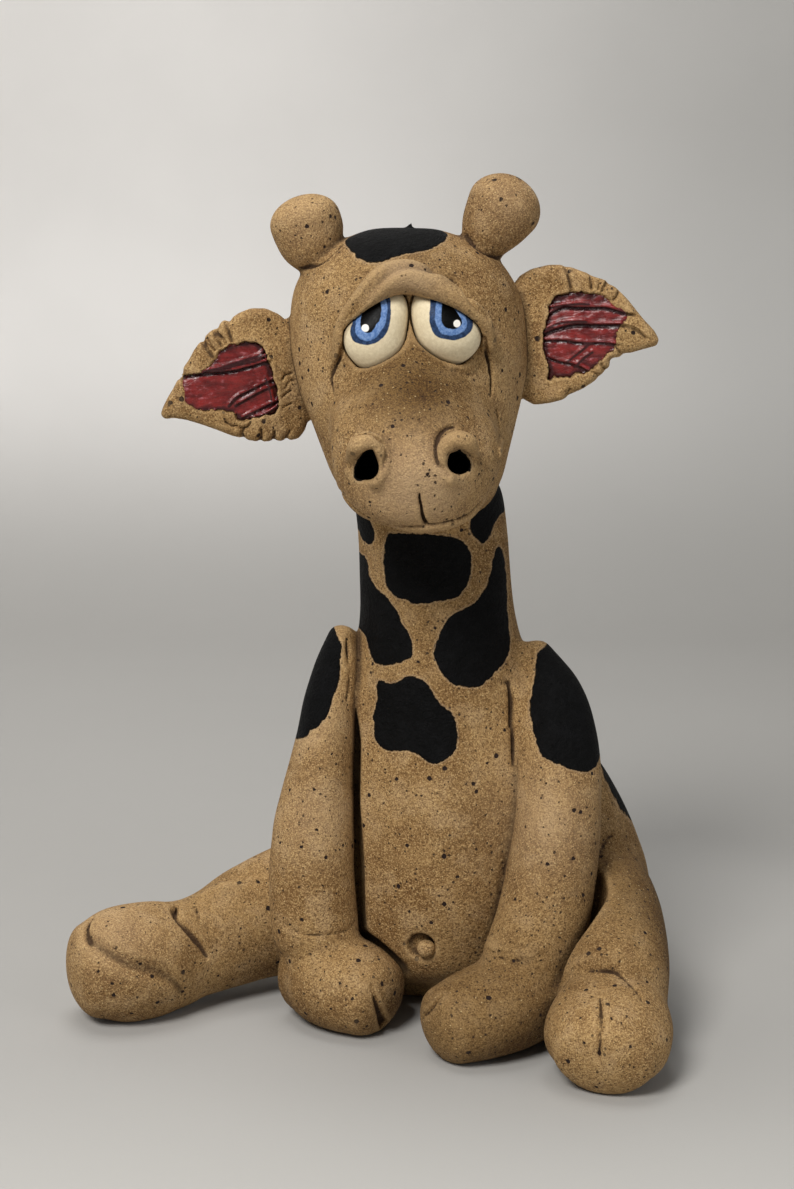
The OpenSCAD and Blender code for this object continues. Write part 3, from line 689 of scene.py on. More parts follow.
def axis_of(rows, upright_rows=True):
    """Height, middle x and y, half width and half depth, sorted by height."""
    r = np.array([row[:5] for row in rows], float)
    r = r if upright_rows else r[:, [2, 0, 1, 3, 4]]
    return r[np.argsort(r[:, 0])]


def unrolled(co, rows):
    """x as seen from the front, going on round the back by the arc length, and the angle."""
    cx, cy, rx, ry = (np.interp(co[:, 2], rows[:, 0], rows[:, k]) for k in (1, 2, 3, 4))
    a = np.arctan2((co[:, 0] - cx) / rx, -(co[:, 1] - cy) / ry)
    beyond = np.maximum(np.abs(a) - np.pi / 2, 0) * (rx + ry) / 2
    s = np.where(np.abs(a) < np.pi / 2, co[:, 0], cx + np.sign(a) * (rx + beyond))
    return s, a, (rx + ry) / 2


PATCHES = {
    "torso": [
        [(-9.5, 116), (-3, 116.3), (3, 116), (7, 114.6), (8.9, 112), (9.3, 108), (8.5, 104.6),
         (6, 101.6), (3.5, 101.1), (-1, 100.4), (-3.6, 100.2), (-5.5, 101), (-8, 101.5),
         (-10.1, 103.7), (-10.8, 108), (-10.7, 112)],
        [(-16.5, 110), (-15, 109), (-14.3, 105.4), (-12.5, 102.6), (-10, 100.8), (-8, 98),
         (-7, 95.9), (-5.3, 93.2), (-4.3, 90.4), (-4.4, 88), (-6.2, 86.8), (-8, 86),
         (-10.4, 85.2), (-12.8, 85.2), (-14.1, 87.2), (-15.4, 91), (-19, 92), (-23, 95),
         (-25, 101), (-22, 107), (-18.5, 110)],
        [(15.6, 112), (14.7, 109), (13.9, 105.5), (12.6, 102.6), (10.5, 99.9), (8, 98.8),
         (5.4, 97.7), (3.6, 96), (2, 92.6), (0.9, 89.4), (1.4, 87), (3, 84), (5.2, 82),
         (8, 81.3), (11.5, 81), (13, 82), (15, 83.4), (17.2, 85.2), (18.6, 87.4), (18.8, 91),
         (18.3, 96), (18.1, 103), (17.5, 109), (16.7, 111.6)],
        [(-12.2, 81.3), (-9.5, 81), (-7, 82), (-5, 83.2), (-2.8, 83), (-0.4, 81.3), (1, 78.6),
         (2.8, 76.6), (4.8, 75.2), (5.9, 72), (6, 68.2), (5, 66), (2.6, 64.3), (0.4, 63.9),
         (-1.6, 64.6), (-3.6, 65.9), (-6, 66.2), (-9.8, 65.9), (-12.3, 67), (-13.2, 70),
         (-13, 74), (-12.3, 77.6)],
        [(-17.8, 127), (-16, 121.6), (-14.6, 119.4), (-13.5, 117), (-13.2, 114.6),
         (-14, 113), (-15.8, 113.6), (-17.3, 116), (-20, 117), (-22, 122), (-20, 127)],
        [(16.6, 133), (11, 122), (9.3, 119.4), (9.4, 116.6), (10.8, 114.8), (12.2, 113.7),
         (13.8, 115), (14.7, 117.6), (16.3, 119.6), (18.4, 121), (20, 126), (19, 131)],
        [(40.4, 61.5), (40.6, 58.6), (42.2, 56), (44, 52), (46, 48), (49.5, 43), (53, 38.5),
         (56, 35.5), (66, 36), (70, 46), (64, 57), (54, 65), (45, 66)]],
    "right_arm": [
        [(-22, 90.4), (-21, 89), (-21.3, 85.2), (-21.6, 81.5), (-22.7, 77.8), (-24.2, 73.7),
         (-26.2, 71.4), (-28.2, 70), (-29.6, 68.4), (-36, 66), (-41, 74), (-40, 86),
         (-32, 93), (-24, 92.5)]],
    "left_arm": [
        [(27.4, 88), (25.4, 86.6), (24.7, 83), (23.9, 79), (23.2, 76.2), (23.8, 72),
         (24.7, 68.6), (25.7, 66.2), (27.8, 65), (30.5, 64.2), (33.4, 63), (36, 62.4),
         (38.2, 62.8), (40, 65), (43, 69), (43, 78), (39, 86), (33, 90)]]}
CROWN = [(-19.5, -8.8), (-16.6, -15.8), (-12.1, -18.2), (-9.9, -17.8), (-7.6, -17.2), (-4.8, -16.5),
         (-2.5, -16), (0.3, -14.1), (2.5, -11.3), (3.6, -7.4), (2.5, -2), (-1, 2.5), (-7, 4),
         (-13, 2), (-18, -3)]
# patches out of sight, by angle from the front, height, half width, half height and tilt
SPOTS = {
    "torso": [(142, 119, 7.5, 8, 0.2), (-142, 121, 8, 6.5, -0.3), (180, 101, 9, 8.5, 0.1),
              (121, 98, 6.5, 8, 0), (-168, 80, 10.5, 8, -0.25), (133, 77, 9, 7.5, 0.3),
              (-128, 66, 9, 7.5, 0.2), (172, 57, 11, 9.5, 0.15), (-150, 44, 10, 8.5, -0.2),
              (148, 33, 9, 8, 0.1), (-118, 40, 7, 8, 0.1), (-172, 22, 9, 7, 0)],
    "head": [(150, 171, 9, 7.5, 0.3), (-146, 166, 9.5, 8, -0.2), (178, 152, 9, 7.5, 0.1),
             (-128, 147, 6.5, 7, 0.2), (122, 152, 6.5, 8, -0.1)]}


def patch_distance(co, kind):
    """Distance in mm from the nearest black patch, negative inside one."""
    rows = {"torso": axis_of(TORSO), "head": axis_of(HEAD),
            "left_arm": axis_of(LEFT_FRONT, False), "right_arm": axis_of(RIGHT_FRONT, False)}[kind]
    s, a, r = unrolled(co, rows)
    best = np.full(len(co), float(FAR))
    for outline in PATCHES.get(kind, []):
        best = np.minimum(best, outline_distance(s, co[:, 2], rounded(outline, 3)))
    for angle, z, wide, high, tilt in SPOTS.get(kind, []):
        turn = (a - math.radians(angle) + np.pi) % (2 * np.pi) - np.pi
        u, v = turn * r, co[:, 2] - z
        u, v = u + tilt * v, v - tilt * u
        around = np.arctan2(v / high, u / wide)
        edge = 1 + 0.09 * np.sin(3 * around + z) + 0.06 * np.sin(5 * around + 2 * angle)
        best = np.minimum(best, (np.hypot(u / wide, v / high) - edge) * min(wide, high))
    if kind == "head":
        flat = outline_distance(co[:, 0], co[:, 1], rounded(CROWN, 3))
        best = np.minimum(best, np.where(co[:, 2] > 172, flat, FAR))
    return best


# ---- Meshes ----------------------------------------------------------------------------------

def nearness(name, block):
    """How far each cell is from being nearest to this form, on the block's lattice."""
    low, high = block.lo * block.h - 3, block.hi * block.h + 3
    lo = np.maximum(np.floor(low / H).astype(int), LOW)
    hi = np.minimum(np.ceil(high / H).astype(int), HIGH)
    s = tuple(slice(a, b) for a, b in zip(lo - LOW, hi - LOW))
    own = Block(lo, tuple(hi - lo), H)
    t, u = shared(own, fields[name])
    own.f[t] = fields[name].f[u]
    others = np.where(owner[s] == NODES.index(name), second.f[s], nearest.f[s])
    return Block(lo, None, H, (own.f - others) / 2)


def matched(source, block):
    """source on the block's own lattice."""
    return refine(block.lo * block.h + 1e-4, (block.hi - 1) * block.h - 1e-4, block.h, source).f


def surface(block, values):
    """Quads of the surface where values cross zero, with outward faces, in mm."""
    grid = vdb.FloatGrid(BAND)
    grid.transform = vdb.createLinearTransform(voxelSize=block.h)
    grid.copyFromArray(np.ascontiguousarray(values, np.float32), ijk=tuple(int(v) for v in block.lo))
    points, quads = grid.convertToQuads(0)
    points, quads = points.astype(float), quads.astype(int)
    a, b, c = (points[quads[:, k]] for k in (0, 1, 2))
    if np.einsum("ij,ij->i", a, np.cross(b, c)).sum() < 0:
        quads = quads[:, ::-1]
    return points, quads


def mesh_object(name, points, faces, attributes, material):
    """A smooth-shaded object from points in mm, with values on its points."""
    mesh = bpy.data.meshes.new(name)
    mesh.vertices.add(len(points))
    mesh.vertices.foreach_set("co", (points * MM).astype(np.float32).ravel())
    n = faces.shape[1]
    mesh.loops.add(faces.size)
    mesh.loops.foreach_set("vertex_index", faces.astype(np.int32).ravel())
    mesh.polygons.add(len(faces))
    mesh.polygons.foreach_set("loop_start", np.arange(0, faces.size, n, dtype=np.int32))
    mesh.update(calc_edges=True)
    mesh.validate()
    mesh.shade_smooth()
    for key, values in attributes.items():
        layer = mesh.attributes.new(key, "FLOAT", "POINT")
        layer.data.foreach_set("value", np.asarray(values, np.float32))
    mesh.materials.append(material)
    obj = bpy.data.objects.new(name, mesh)
    bpy.context.scene.collection.objects.link(obj)
    return obj


def hand_in(obj, slot, *nodes):
    """Gives a piece its body and hides the CAD nodes it replaces; slot is not used."""
    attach(obj, "root")
    if nodes:
        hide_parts(*nodes)
    print("piece", obj.name, len(obj.data.polygons))
    return obj


# ---- Materials -------------------------------------------------------------------------------

def rgb(r, g, b):
    """Linear colour from 8-bit sRGB."""
    return tuple((v / 255 / 12.92) if v <= 10 else ((v / 255 + 0.055) / 1.055) ** 2.4
                 for v in (r, g, b)) + (1.0,)


class Look:
    """A node material, built by small calls that return sockets."""

    def __init__(self, name, roughness, specular, coat=0.0, coat_roughness=0.1):
        self.material = bpy.data.materials.new(name)
        self.material.use_nodes = True
        self.tree = self.material.node_tree
        self.shader = self.tree.nodes["Principled BSDF"]
        self.shader.inputs["Roughness"].default_value = roughness
        self.shader.inputs["Specular IOR Level"].default_value = specular
        self.shader.inputs["Coat Weight"].default_value = coat
        self.shader.inputs["Coat Roughness"].default_value = coat_roughness
        where = self.node("ShaderNodeTexCoord").outputs["Object"]
        scale = self.node("ShaderNodeVectorMath", operation="SCALE")
        self.link(where, scale.inputs[0])
        scale.inputs["Scale"].default_value = 1 / MM
        self.mm = scale.outputs[0]

    def node(self, kind, **settings):
        n = self.tree.nodes.new(kind)
        for key, value in settings.items():
            setattr(n, key, value)
        return n

    def link(self, value, socket):
        if isinstance(value, bpy.types.NodeSocket):
            self.tree.links.new(value, socket)
        else:
            socket.default_value = value

    def noise(self, size, detail=2.0, rough=0.5, where=None, offset=None):
        n = self.node("ShaderNodeTexNoise")
        place = where or self.mm
        if offset:
            place = self.shifted(place, offset)
        self.link(place, n.inputs["Vector"])
        n.inputs["Scale"].default_value = 1 / size
        n.inputs["Detail"].default_value = detail
        n.inputs["Roughness"].default_value = rough
        return n.outputs["Fac"]

    def shifted(self, place, offset):
        n = self.node("ShaderNodeVectorMath", operation="ADD")
        self.link(place, n.inputs[0])
        self.link(offset, n.inputs[1])
        return n.outputs[0]

    def cells(self, size, place=None):
        n = self.node("ShaderNodeTexVoronoi")
        self.link(place or self.mm, n.inputs["Vector"])
        n.inputs["Scale"].default_value = 1 / size
        split = self.node("ShaderNodeSeparateColor")
        self.link(n.outputs["Color"], split.inputs[0])
        return n.outputs["Distance"], split.outputs[0], split.outputs[1]

    def math(self, op, a, b=0.0, c=0.0):
        n = self.node("ShaderNodeMath", operation=op)
        for i, v in enumerate((a, b, c)[:len(n.inputs)]):
            self.link(v, n.inputs[i])
        return n.outputs[0]

    def ramp(self, value, low, high, out_low=0.0, out_high=1.0):
        n = self.node("ShaderNodeMapRange", interpolation_type="SMOOTHSTEP")
        for key, v in (("Value", value), ("From Min", low), ("From Max", high),
                       ("To Min", out_low), ("To Max", out_high)):
            self.link(v, n.inputs[key])
        return n.outputs[0]

    def mix(self, share, a, b, blend="MIX"):
        n = self.node("ShaderNodeMix", data_type="RGBA", blend_type=blend)
        self.link(share, n.inputs["Factor"])
        self.link(a, n.inputs[6])
        self.link(b, n.inputs[7])
        return n.outputs[2]

    def layer(self, base, mask, share, colour):
        """colour laid over base where mask is high, at most as strong as share."""
        return self.mix(self.math("MULTIPLY", mask, share), base, colour)

    def attribute(self, name):
        return self.node("ShaderNodeAttribute", attribute_name=name).outputs["Fac"]

    def bump(self, height, mm, strength=1.0, under=None):
        n = self.node("ShaderNodeBump")
        n.inputs["Distance"].default_value = mm * MM
        n.inputs["Strength"].default_value = strength
        self.link(height, n.inputs["Height"])
        if under is not None:
            self.link(under, n.inputs["Normal"])
        return n.outputs[0]

    def finish(self, colour, roughness=None, normal=None):
        self.link(colour, self.shader.inputs["Base Color"])
        if roughness is not None:
            self.link(roughness, self.shader.inputs["Roughness"])
        if normal is not None:
            self.link(normal, self.shader.inputs["Normal"])
        return self.material


def speckled_clay():
    """Dry fired stoneware: iron specks that melted out, sand, smoothing marks, painted slip."""
    k = Look("speckled_clay", 0.85, 0.25)
    warp = k.node("ShaderNodeTexNoise")
    k.link(k.mm, warp.inputs["Vector"])
    k.link(1.6, warp.inputs["Scale"])
    bent = k.node("ShaderNodeVectorMath", operation="MULTIPLY_ADD")
    k.link(warp.outputs["Color"], bent.inputs[0])
    k.link((0.55, 0.55, 0.55), bent.inputs[1])
    k.link(k.mm, bent.inputs[2])
    wobbly = bent.outputs[0]
    broad = k.noise(26, 3, 0.55)
    patchy = k.noise(7, 4, 0.6, offset=(40, 7, 3))
    fine = k.noise(0.9, 3, 0.7)
    grain = k.noise(0.36, 2, 0.6, offset=(9, 2, 5))
    light, dark = rgb(168, 134, 87), rgb(122, 89, 49)
    body = k.mix(k.ramp(broad, 0.3, 0.7), dark, light)
    body = k.layer(body, k.ramp(patchy, 0.46, 0.68), 0.6, rgb(178, 148, 108))
    body = k.layer(body, k.ramp(patchy, 0.46, 0.3), 0.55, rgb(112, 78, 42))
    body = k.layer(body, k.ramp(fine, 0.5, 0.72), 0.6, rgb(194, 161, 110))
    body = k.layer(body, k.ramp(fine, 0.5, 0.28), 0.62, rgb(92, 64, 34))
    body = k.layer(body, k.ramp(grain, 0.52, 0.68), 0.75, rgb(78, 53, 28))
    body = k.layer(body, k.ramp(grain, 0.48, 0.34), 0.62, rgb(208, 174, 122))
    # painted shade and painted light: the clay is darkened where shade falls and made paler where light
    # falls
    body = k.mix(k.attribute("painted_shade"), body, (0.3, 0.25, 0.15, 1), "MULTIPLY")
    body = k.mix(k.attribute("painted_light"), body, rgb(184, 156, 122))
    # sand
    d, pick = k.cells(1.15, k.shifted(k.mm, (3, 11, 6)))[:2]
    sand = k.math("MULTIPLY", k.math("LESS_THAN", pick, 0.30), k.ramp(d, 0.22, 0.08))
    body = k.layer(body, sand, 0.7, rgb(214, 184, 132))
    # iron specks, large and small
    d, pick, size = k.cells(3.1, wobbly)
    big = k.math("MULTIPLY", k.math("LESS_THAN", pick, 0.72),
                 k.ramp(k.math("SUBTRACT", d, k.math("MULTIPLY", size, 0.17)), 0.05, 0.005))
    d, pick, size = k.cells(1.25, k.shifted(wobbly, (17, 5, 29)))
    small = k.math("MULTIPLY", k.math("LESS_THAN", pick, 0.42),
                   k.ramp(k.math("SUBTRACT", d, k.math("MULTIPLY", size, 0.2)), 0.09, 0.02))
    iron = k.math("MAXIMUM", big, k.math("MULTIPLY", small, 0.85))
    body = k.mix(iron, body, rgb(38, 25, 20))
    # crevices stay brown, worn edges are lighter
    # painted shade: crevices are darkened towards dark brown, partly the brown iron stain the clay
    # holds there and partly shade; convex edges are made lighter
    hollow = k.attribute("hollow")
    body = k.mix(k.ramp(hollow, 0.08, 0.7, 0.0, 0.88), body, rgb(46, 28, 16))
    body = k.mix(k.ramp(hollow, -0.12, -0.6, 0.0, 0.35), body, rgb(190, 158, 112))
    height = k.math("MULTIPLY_ADD", grain, -0.6, k.math("MULTIPLY", fine, 1.1))
    height = k.math("ADD", height, k.math("MULTIPLY", sand, 0.35))
    height = k.math("SUBTRACT", height, k.math("MULTIPLY", iron, 0.9))
    roughness = k.ramp(fine, 0.2, 0.8, 0.78, 0.92)
    ragged = k.math("MULTIPLY_ADD", k.noise(2.2, 3, 0.6, offset=(1, 1, 8)), 1.3, -0.65)
    # distance from the black slip patches, and from the nostril insides that are painted black as shade
    away = k.math("ADD", k.attribute("slip_and_nostril_shade"), ragged)
    slip_and_nostril_shade = k.ramp(away, 0.16, -0.06)
    strokes = k.noise(3.4, 5, 0.7, offset=(6, 2, 9))
    height = k.math("ADD", height, k.math("MULTIPLY", slip_and_nostril_shade, k.math("MULTIPLY_ADD", strokes, 3, 0.4)))
    black = k.mix(k.ramp(strokes, 0.35, 0.75), rgb(2, 2, 2), rgb(9, 9, 10))
    black = k.layer(black, k.ramp(grain, 0.62, 0.85), 0.4, rgb(34, 33, 33))
    rim = k.math("MULTIPLY", k.ramp(away, 0.7, 0.2), k.ramp(away, 0.0, 0.2))
    body = k.layer(body, rim, 0.35, rgb(176, 150, 118))
    body = k.mix(slip_and_nostril_shade, body, black)
    roughness = k.math("ADD", roughness, k.math("MULTIPLY", slip_and_nostril_shade, -0.12))
    k.link(k.ramp(slip_and_nostril_shade, 0, 1, 0.25, 0.12), k.shader.inputs["Specular IOR Level"])
    return k.finish(body, roughness, k.bump(height, 0.38))


def eye_paint():
    """Satin cream with a brushed ring, iris, pupil and glint."""
    k = Look("eye_glaze", 0.5, 0.1)
    ragged = k.math("MULTIPLY_ADD", k.noise(1.3, 3, 0.6), 0.6, -0.3)
    brush = k.noise(0.8, 4, 0.7, offset=(5, 3, 1))
    cream = k.mix(k.ramp(brush, 0.3, 0.75), rgb(218, 202, 168), rgb(234, 220, 188))
    # painted shade: the cream is darkened where the eye tucks in under the face clay
    cream = k.mix(k.ramp(k.attribute("hollow"), 0.05, 0.7, 0.0, 0.55), cream, rgb(120, 98, 66))
    ring = k.mix(k.ramp(brush, 0.3, 0.8), rgb(30, 44, 70), rgb(58, 82, 120))
    blue = k.mix(k.ramp(brush, 0.3, 0.75), rgb(74, 108, 160), rgb(128, 156, 200))
    colour = cream
    for key, paint, soft, loose in (("ring", ring, 0.12, 0.7), ("blue", blue, 0.14, 0.9),
                                    ("pupil", rgb(2, 2, 2), 0.1, 0.8),
                                    ("glint", rgb(236, 232, 224), 0.08, 0.4)):
        away = k.math("ADD", k.attribute(key), k.math("MULTIPLY", ragged, loose))
        colour = k.mix(k.ramp(away, soft, -soft), colour, paint)
    return k.finish(colour, k.ramp(brush, 0.2, 0.8, 0.34, 0.5),
                    k.bump(k.math("ADD", brush, k.noise(0.3, 2)), 0.05))


def red_glaze():
    """Poured glaze that pools dark in the scratches, is darkened in its hollows with painted shade as
    well, and turns pink in spots that are partly thin glaze and partly painted highlight.
    """
    k = Look("ear_glaze", 0.36, 0.35, 0.12, 0.2)
    stretch = k.node("ShaderNodeMapping", vector_type="POINT")
    k.link(k.mm, stretch.inputs["Vector"])
    stretch.inputs["Scale"].default_value = (0.35, 1, 1)
    streak = k.noise(1.5, 4, 0.65, where=stretch.outputs[0])
    thin_glaze_and_highlight = k.noise(0.75, 3, 0.75, where=stretch.outputs[0], offset=(4, 9, 2))
    cloud = k.noise(6, 2, 0.5, offset=(1, 0, 4))
    red = k.mix(k.ramp(streak, 0.3, 0.7), rgb(84, 20, 20), rgb(134, 40, 38))
    # pink spots: partly the glaze breaking thin and partly painted highlight
    pink = k.math("MULTIPLY", k.ramp(thin_glaze_and_highlight, 0.56, 0.7), k.ramp(cloud, 0.42, 0.62))
    red = k.layer(red, pink, 0.6, rgb(196, 124, 132))
    # painted shade: the glaze is darkened in its hollows, partly glaze pooling there and partly shade
    # under the overhanging rim
    red = k.mix(k.ramp(k.attribute("hollow"), 0.04, 0.5, 0.0, 0.9), red, rgb(46, 8, 12))
    red = k.mix(k.ramp(k.attribute("line"), 1.35, 0.6, 0.0, 0.92), red, rgb(44, 8, 12))
    height = k.math("ADD", streak, k.math("MULTIPLY", thin_glaze_and_highlight, 0.7))
    return k.finish(red, k.ramp(thin_glaze_and_highlight, 0.3, 0.7, 0.2, 0.42), k.bump(height, 0.22))


CLAY = speckled_clay()
SLIP = Look("black_slip", 0.62, 0.3)
brushed = SLIP.noise(1.6, 5, 0.7)
SLIP = SLIP.finish(SLIP.mix(SLIP.ramp(brushed, 0.3, 0.75), rgb(9, 9, 10), rgb(24, 24, 26)),
                   SLIP.ramp(brushed, 0.2, 0.8, 0.55, 0.75), SLIP.bump(brushed, 0.2))
EYES = eye_paint()
RED = red_glaze()


# ---- Pieces ----------------------------------------------------------------------------------

# painted shade and painted light, where the clay is darkened for shade and made paler for light: x, y,
# z, reach in mm, share
PAINTED_SHADE_SPOTS = [(-4, -34, 151, 15, 1.0), (-5, -20, 181, 16, 0.5), (0, -14, 66, 26, 0.1),
       (0, -14, 100, 22, 0.35), (50, -16, 26, 24, 0.85), (10, -40, 9, 18, 0.85),
       (-26, -18, 7, 14, 0.5), (40, -30, 14, 18, 0.45), (-70, -10, 4, 14, 0.4),
       (-52, -4, 20, 14, 0.3)]
PAINTED_LIGHT_SPOTS = [(-4, -46, 130, 11, 0.6), (-5, -29, 175, 8, 0.55), (-26, -20, 50, 9, 0.3),
        (26, -28, 52, 12, 0.3), (22, -14, 152, 10, 0.15), (-28, -12, 155, 10, 0.1),
        (-29, -9, 188, 8, 0.25), (17, -9, 191, 8, 0.25), (-27, -12, 72, 7, 0.4),
        (-74, -22, 22, 9, 0.3)]


def shade(co, spots):
    """Sum of the soft spots of painted shade and painted light at each point."""
    out = np.zeros(len(co))
    for x, y, z, reach, share in spots:
        out += share * np.exp(-((co - (x, y, z)) ** 2).sum(1) / reach ** 2)
    return out


def box_of(*names):
    """Corners in mm of the box round some CAD nodes."""
    low = np.min([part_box(n)[0] for n in names], 0) / MM
    high = np.max([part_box(n)[1] for n in names], 0) / MM
    return low, high


def hollows(block, sigma=0.9):
    """Positive in crevices, negative on edges."""
    values = np.clip(block.f, -2.5, 2.5)
    return blurred(values, sigma / block.h) - values


def make(block, name, kind=None, slot="clay", material=None, hollow=None):
    """Cuts one piece out of the carved clay, up to the middle between it and its neighbours."""
    near = matched(nearness(name, block), block)
    values = np.maximum(block.f + np.clip(0.35 * near, 0, 0.7), near - 1.6)
    points, quads = surface(block, values)
    depth = -block.at(points, hollow)
    slip_and_nostril_shade = np.full(len(points), float(FAR))
    if kind:
        slip_and_nostril_shade = patch_distance(points, kind)
    # the insides of the nostrils get the black slip colour as painted shade in the holes
    if name in ("muzzle", "head_shell", "left_nostril_rim", "right_nostril_rim"):
        for outline in NOSTRILS:
            mid = np.mean(outline, 0)
            y0 = clay.front(*mid)[1]
            z = points[:, 2] + NOSTRIL_FALL * (points[:, 1] - y0)
            well = outline_distance(points[:, 0], z, rounded(outline))
            slip_and_nostril_shade = np.minimum(slip_and_nostril_shade, np.maximum(well - 0.35, y0 + 1.4 - points[:, 1]))
    attributes = {"slip_and_nostril_shade": slip_and_nostril_shade, "hollow": depth / 0.45, "painted_shade": shade(points, PAINTED_SHADE_SPOTS),
                  "painted_light": shade(points, PAINTED_LIGHT_SPOTS)}
    obj = mesh_object(name + "_fired", points, quads, attributes, material or CLAY)
    return hand_in(obj, slot, name)


def block_for(h, *names):
    """Carved clay round some CAD nodes, on a lattice of step h."""
    low, high = box_of(*names)
    block = refine(low - MARGIN, high + MARGIN, h)
    carve(block)
    return block


FACE_NODES = ("head_shell", "muzzle", "lower_lip", "brow_fold", "left_nostril_rim",
              "right_nostril_rim")
face = block_for(STEP["face"], *FACE_NODES)
eye_fields = {n: matched(fields[n], face) for n in ("left_eye", "right_eye")}
for values in eye_fields.values():
    face.f = smax(face.f, 0.25 - values, 0.3)
tube(face, [clay.touch((-5, -2, 200), -Z) - (0, 0, 0.4), clay.touch((-5, -2, 200), -Z) + (0.3, 0, 1)],
     [0.9, 0.25], 0.8, raised=True)
face_hollow = hollows(face)
for name in FACE_NODES:
    make(face, name, "head" if name == "head_shell" else None, hollow=face_hollow)

body = block_for(STEP["torso"], "torso_shell")
# the mouth of the kiln vent in the seat
s, (x, y, z) = body.window((VENT_X - 5, VENT_Y - 5, -4), (VENT_X + 5, VENT_Y + 5, 9))
body.f[s] = smax(body.f[s], (VENT_R - np.hypot(x - VENT_X, y - VENT_Y)).astype(np.float32), 0.3)
make(body, "torso_shell", "torso", hollow=hollows(body))


def limb(side, kind):
    """A leg and its hoof, cut from one block."""
    leg, foot = f"{side}_{kind}_leg", f"{side}_{kind}_hoof"
    block = block_for(STEP[kind], leg, foot)
    deep = hollows(block)
    make(block, leg, side + "_arm" if kind == "front" else None, hollow=deep)
    make(block, foot, hollow=deep)


for side in ("left", "right"):
    limb(side, "front")
    limb(side, "hind")
    horn = block_for(STEP["horn"], side + "_horn")
    make(horn, side + "_horn", hollow=hollows(horn))
rear = block_for(STEP["tail"], "tail", "tail_tuft")
deep = hollows(rear)
make(rear, "tail", hollow=deep)
make(rear, "tail_tuft", slot="black_slip", material=SLIP, hollow=deep)

# navel bead, a rolled crumb of clay in its hollow
bead = Block(np.floor((BEAD - 4) / STEP["bead"]).astype(int), (34, 34, 34), STEP["bead"])
x, y, z = bead.window(BEAD - 10, BEAD + 10)[1]
bead.f = (np.sqrt((x - BEAD[0]) ** 2 + (y - BEAD[1]) ** 2 + (z - BEAD[2]) ** 2) - BEAD_R
          + 0.12 * np.sin(1.3 * x + 0.7 * z) * np.cos(1.1 * y)).astype(np.float32)
points, quads = surface(bead, bead.f)
flat = {key: np.zeros(len(points)) for key in ("hollow", "painted_shade", "painted_light")}
hand_in(mesh_object("navel_bead_fired", points, quads, {"slip_and_nostril_shade": flat["painted_shade"] + FAR, **flat}, CLAY),
        "clay", "navel_bead")

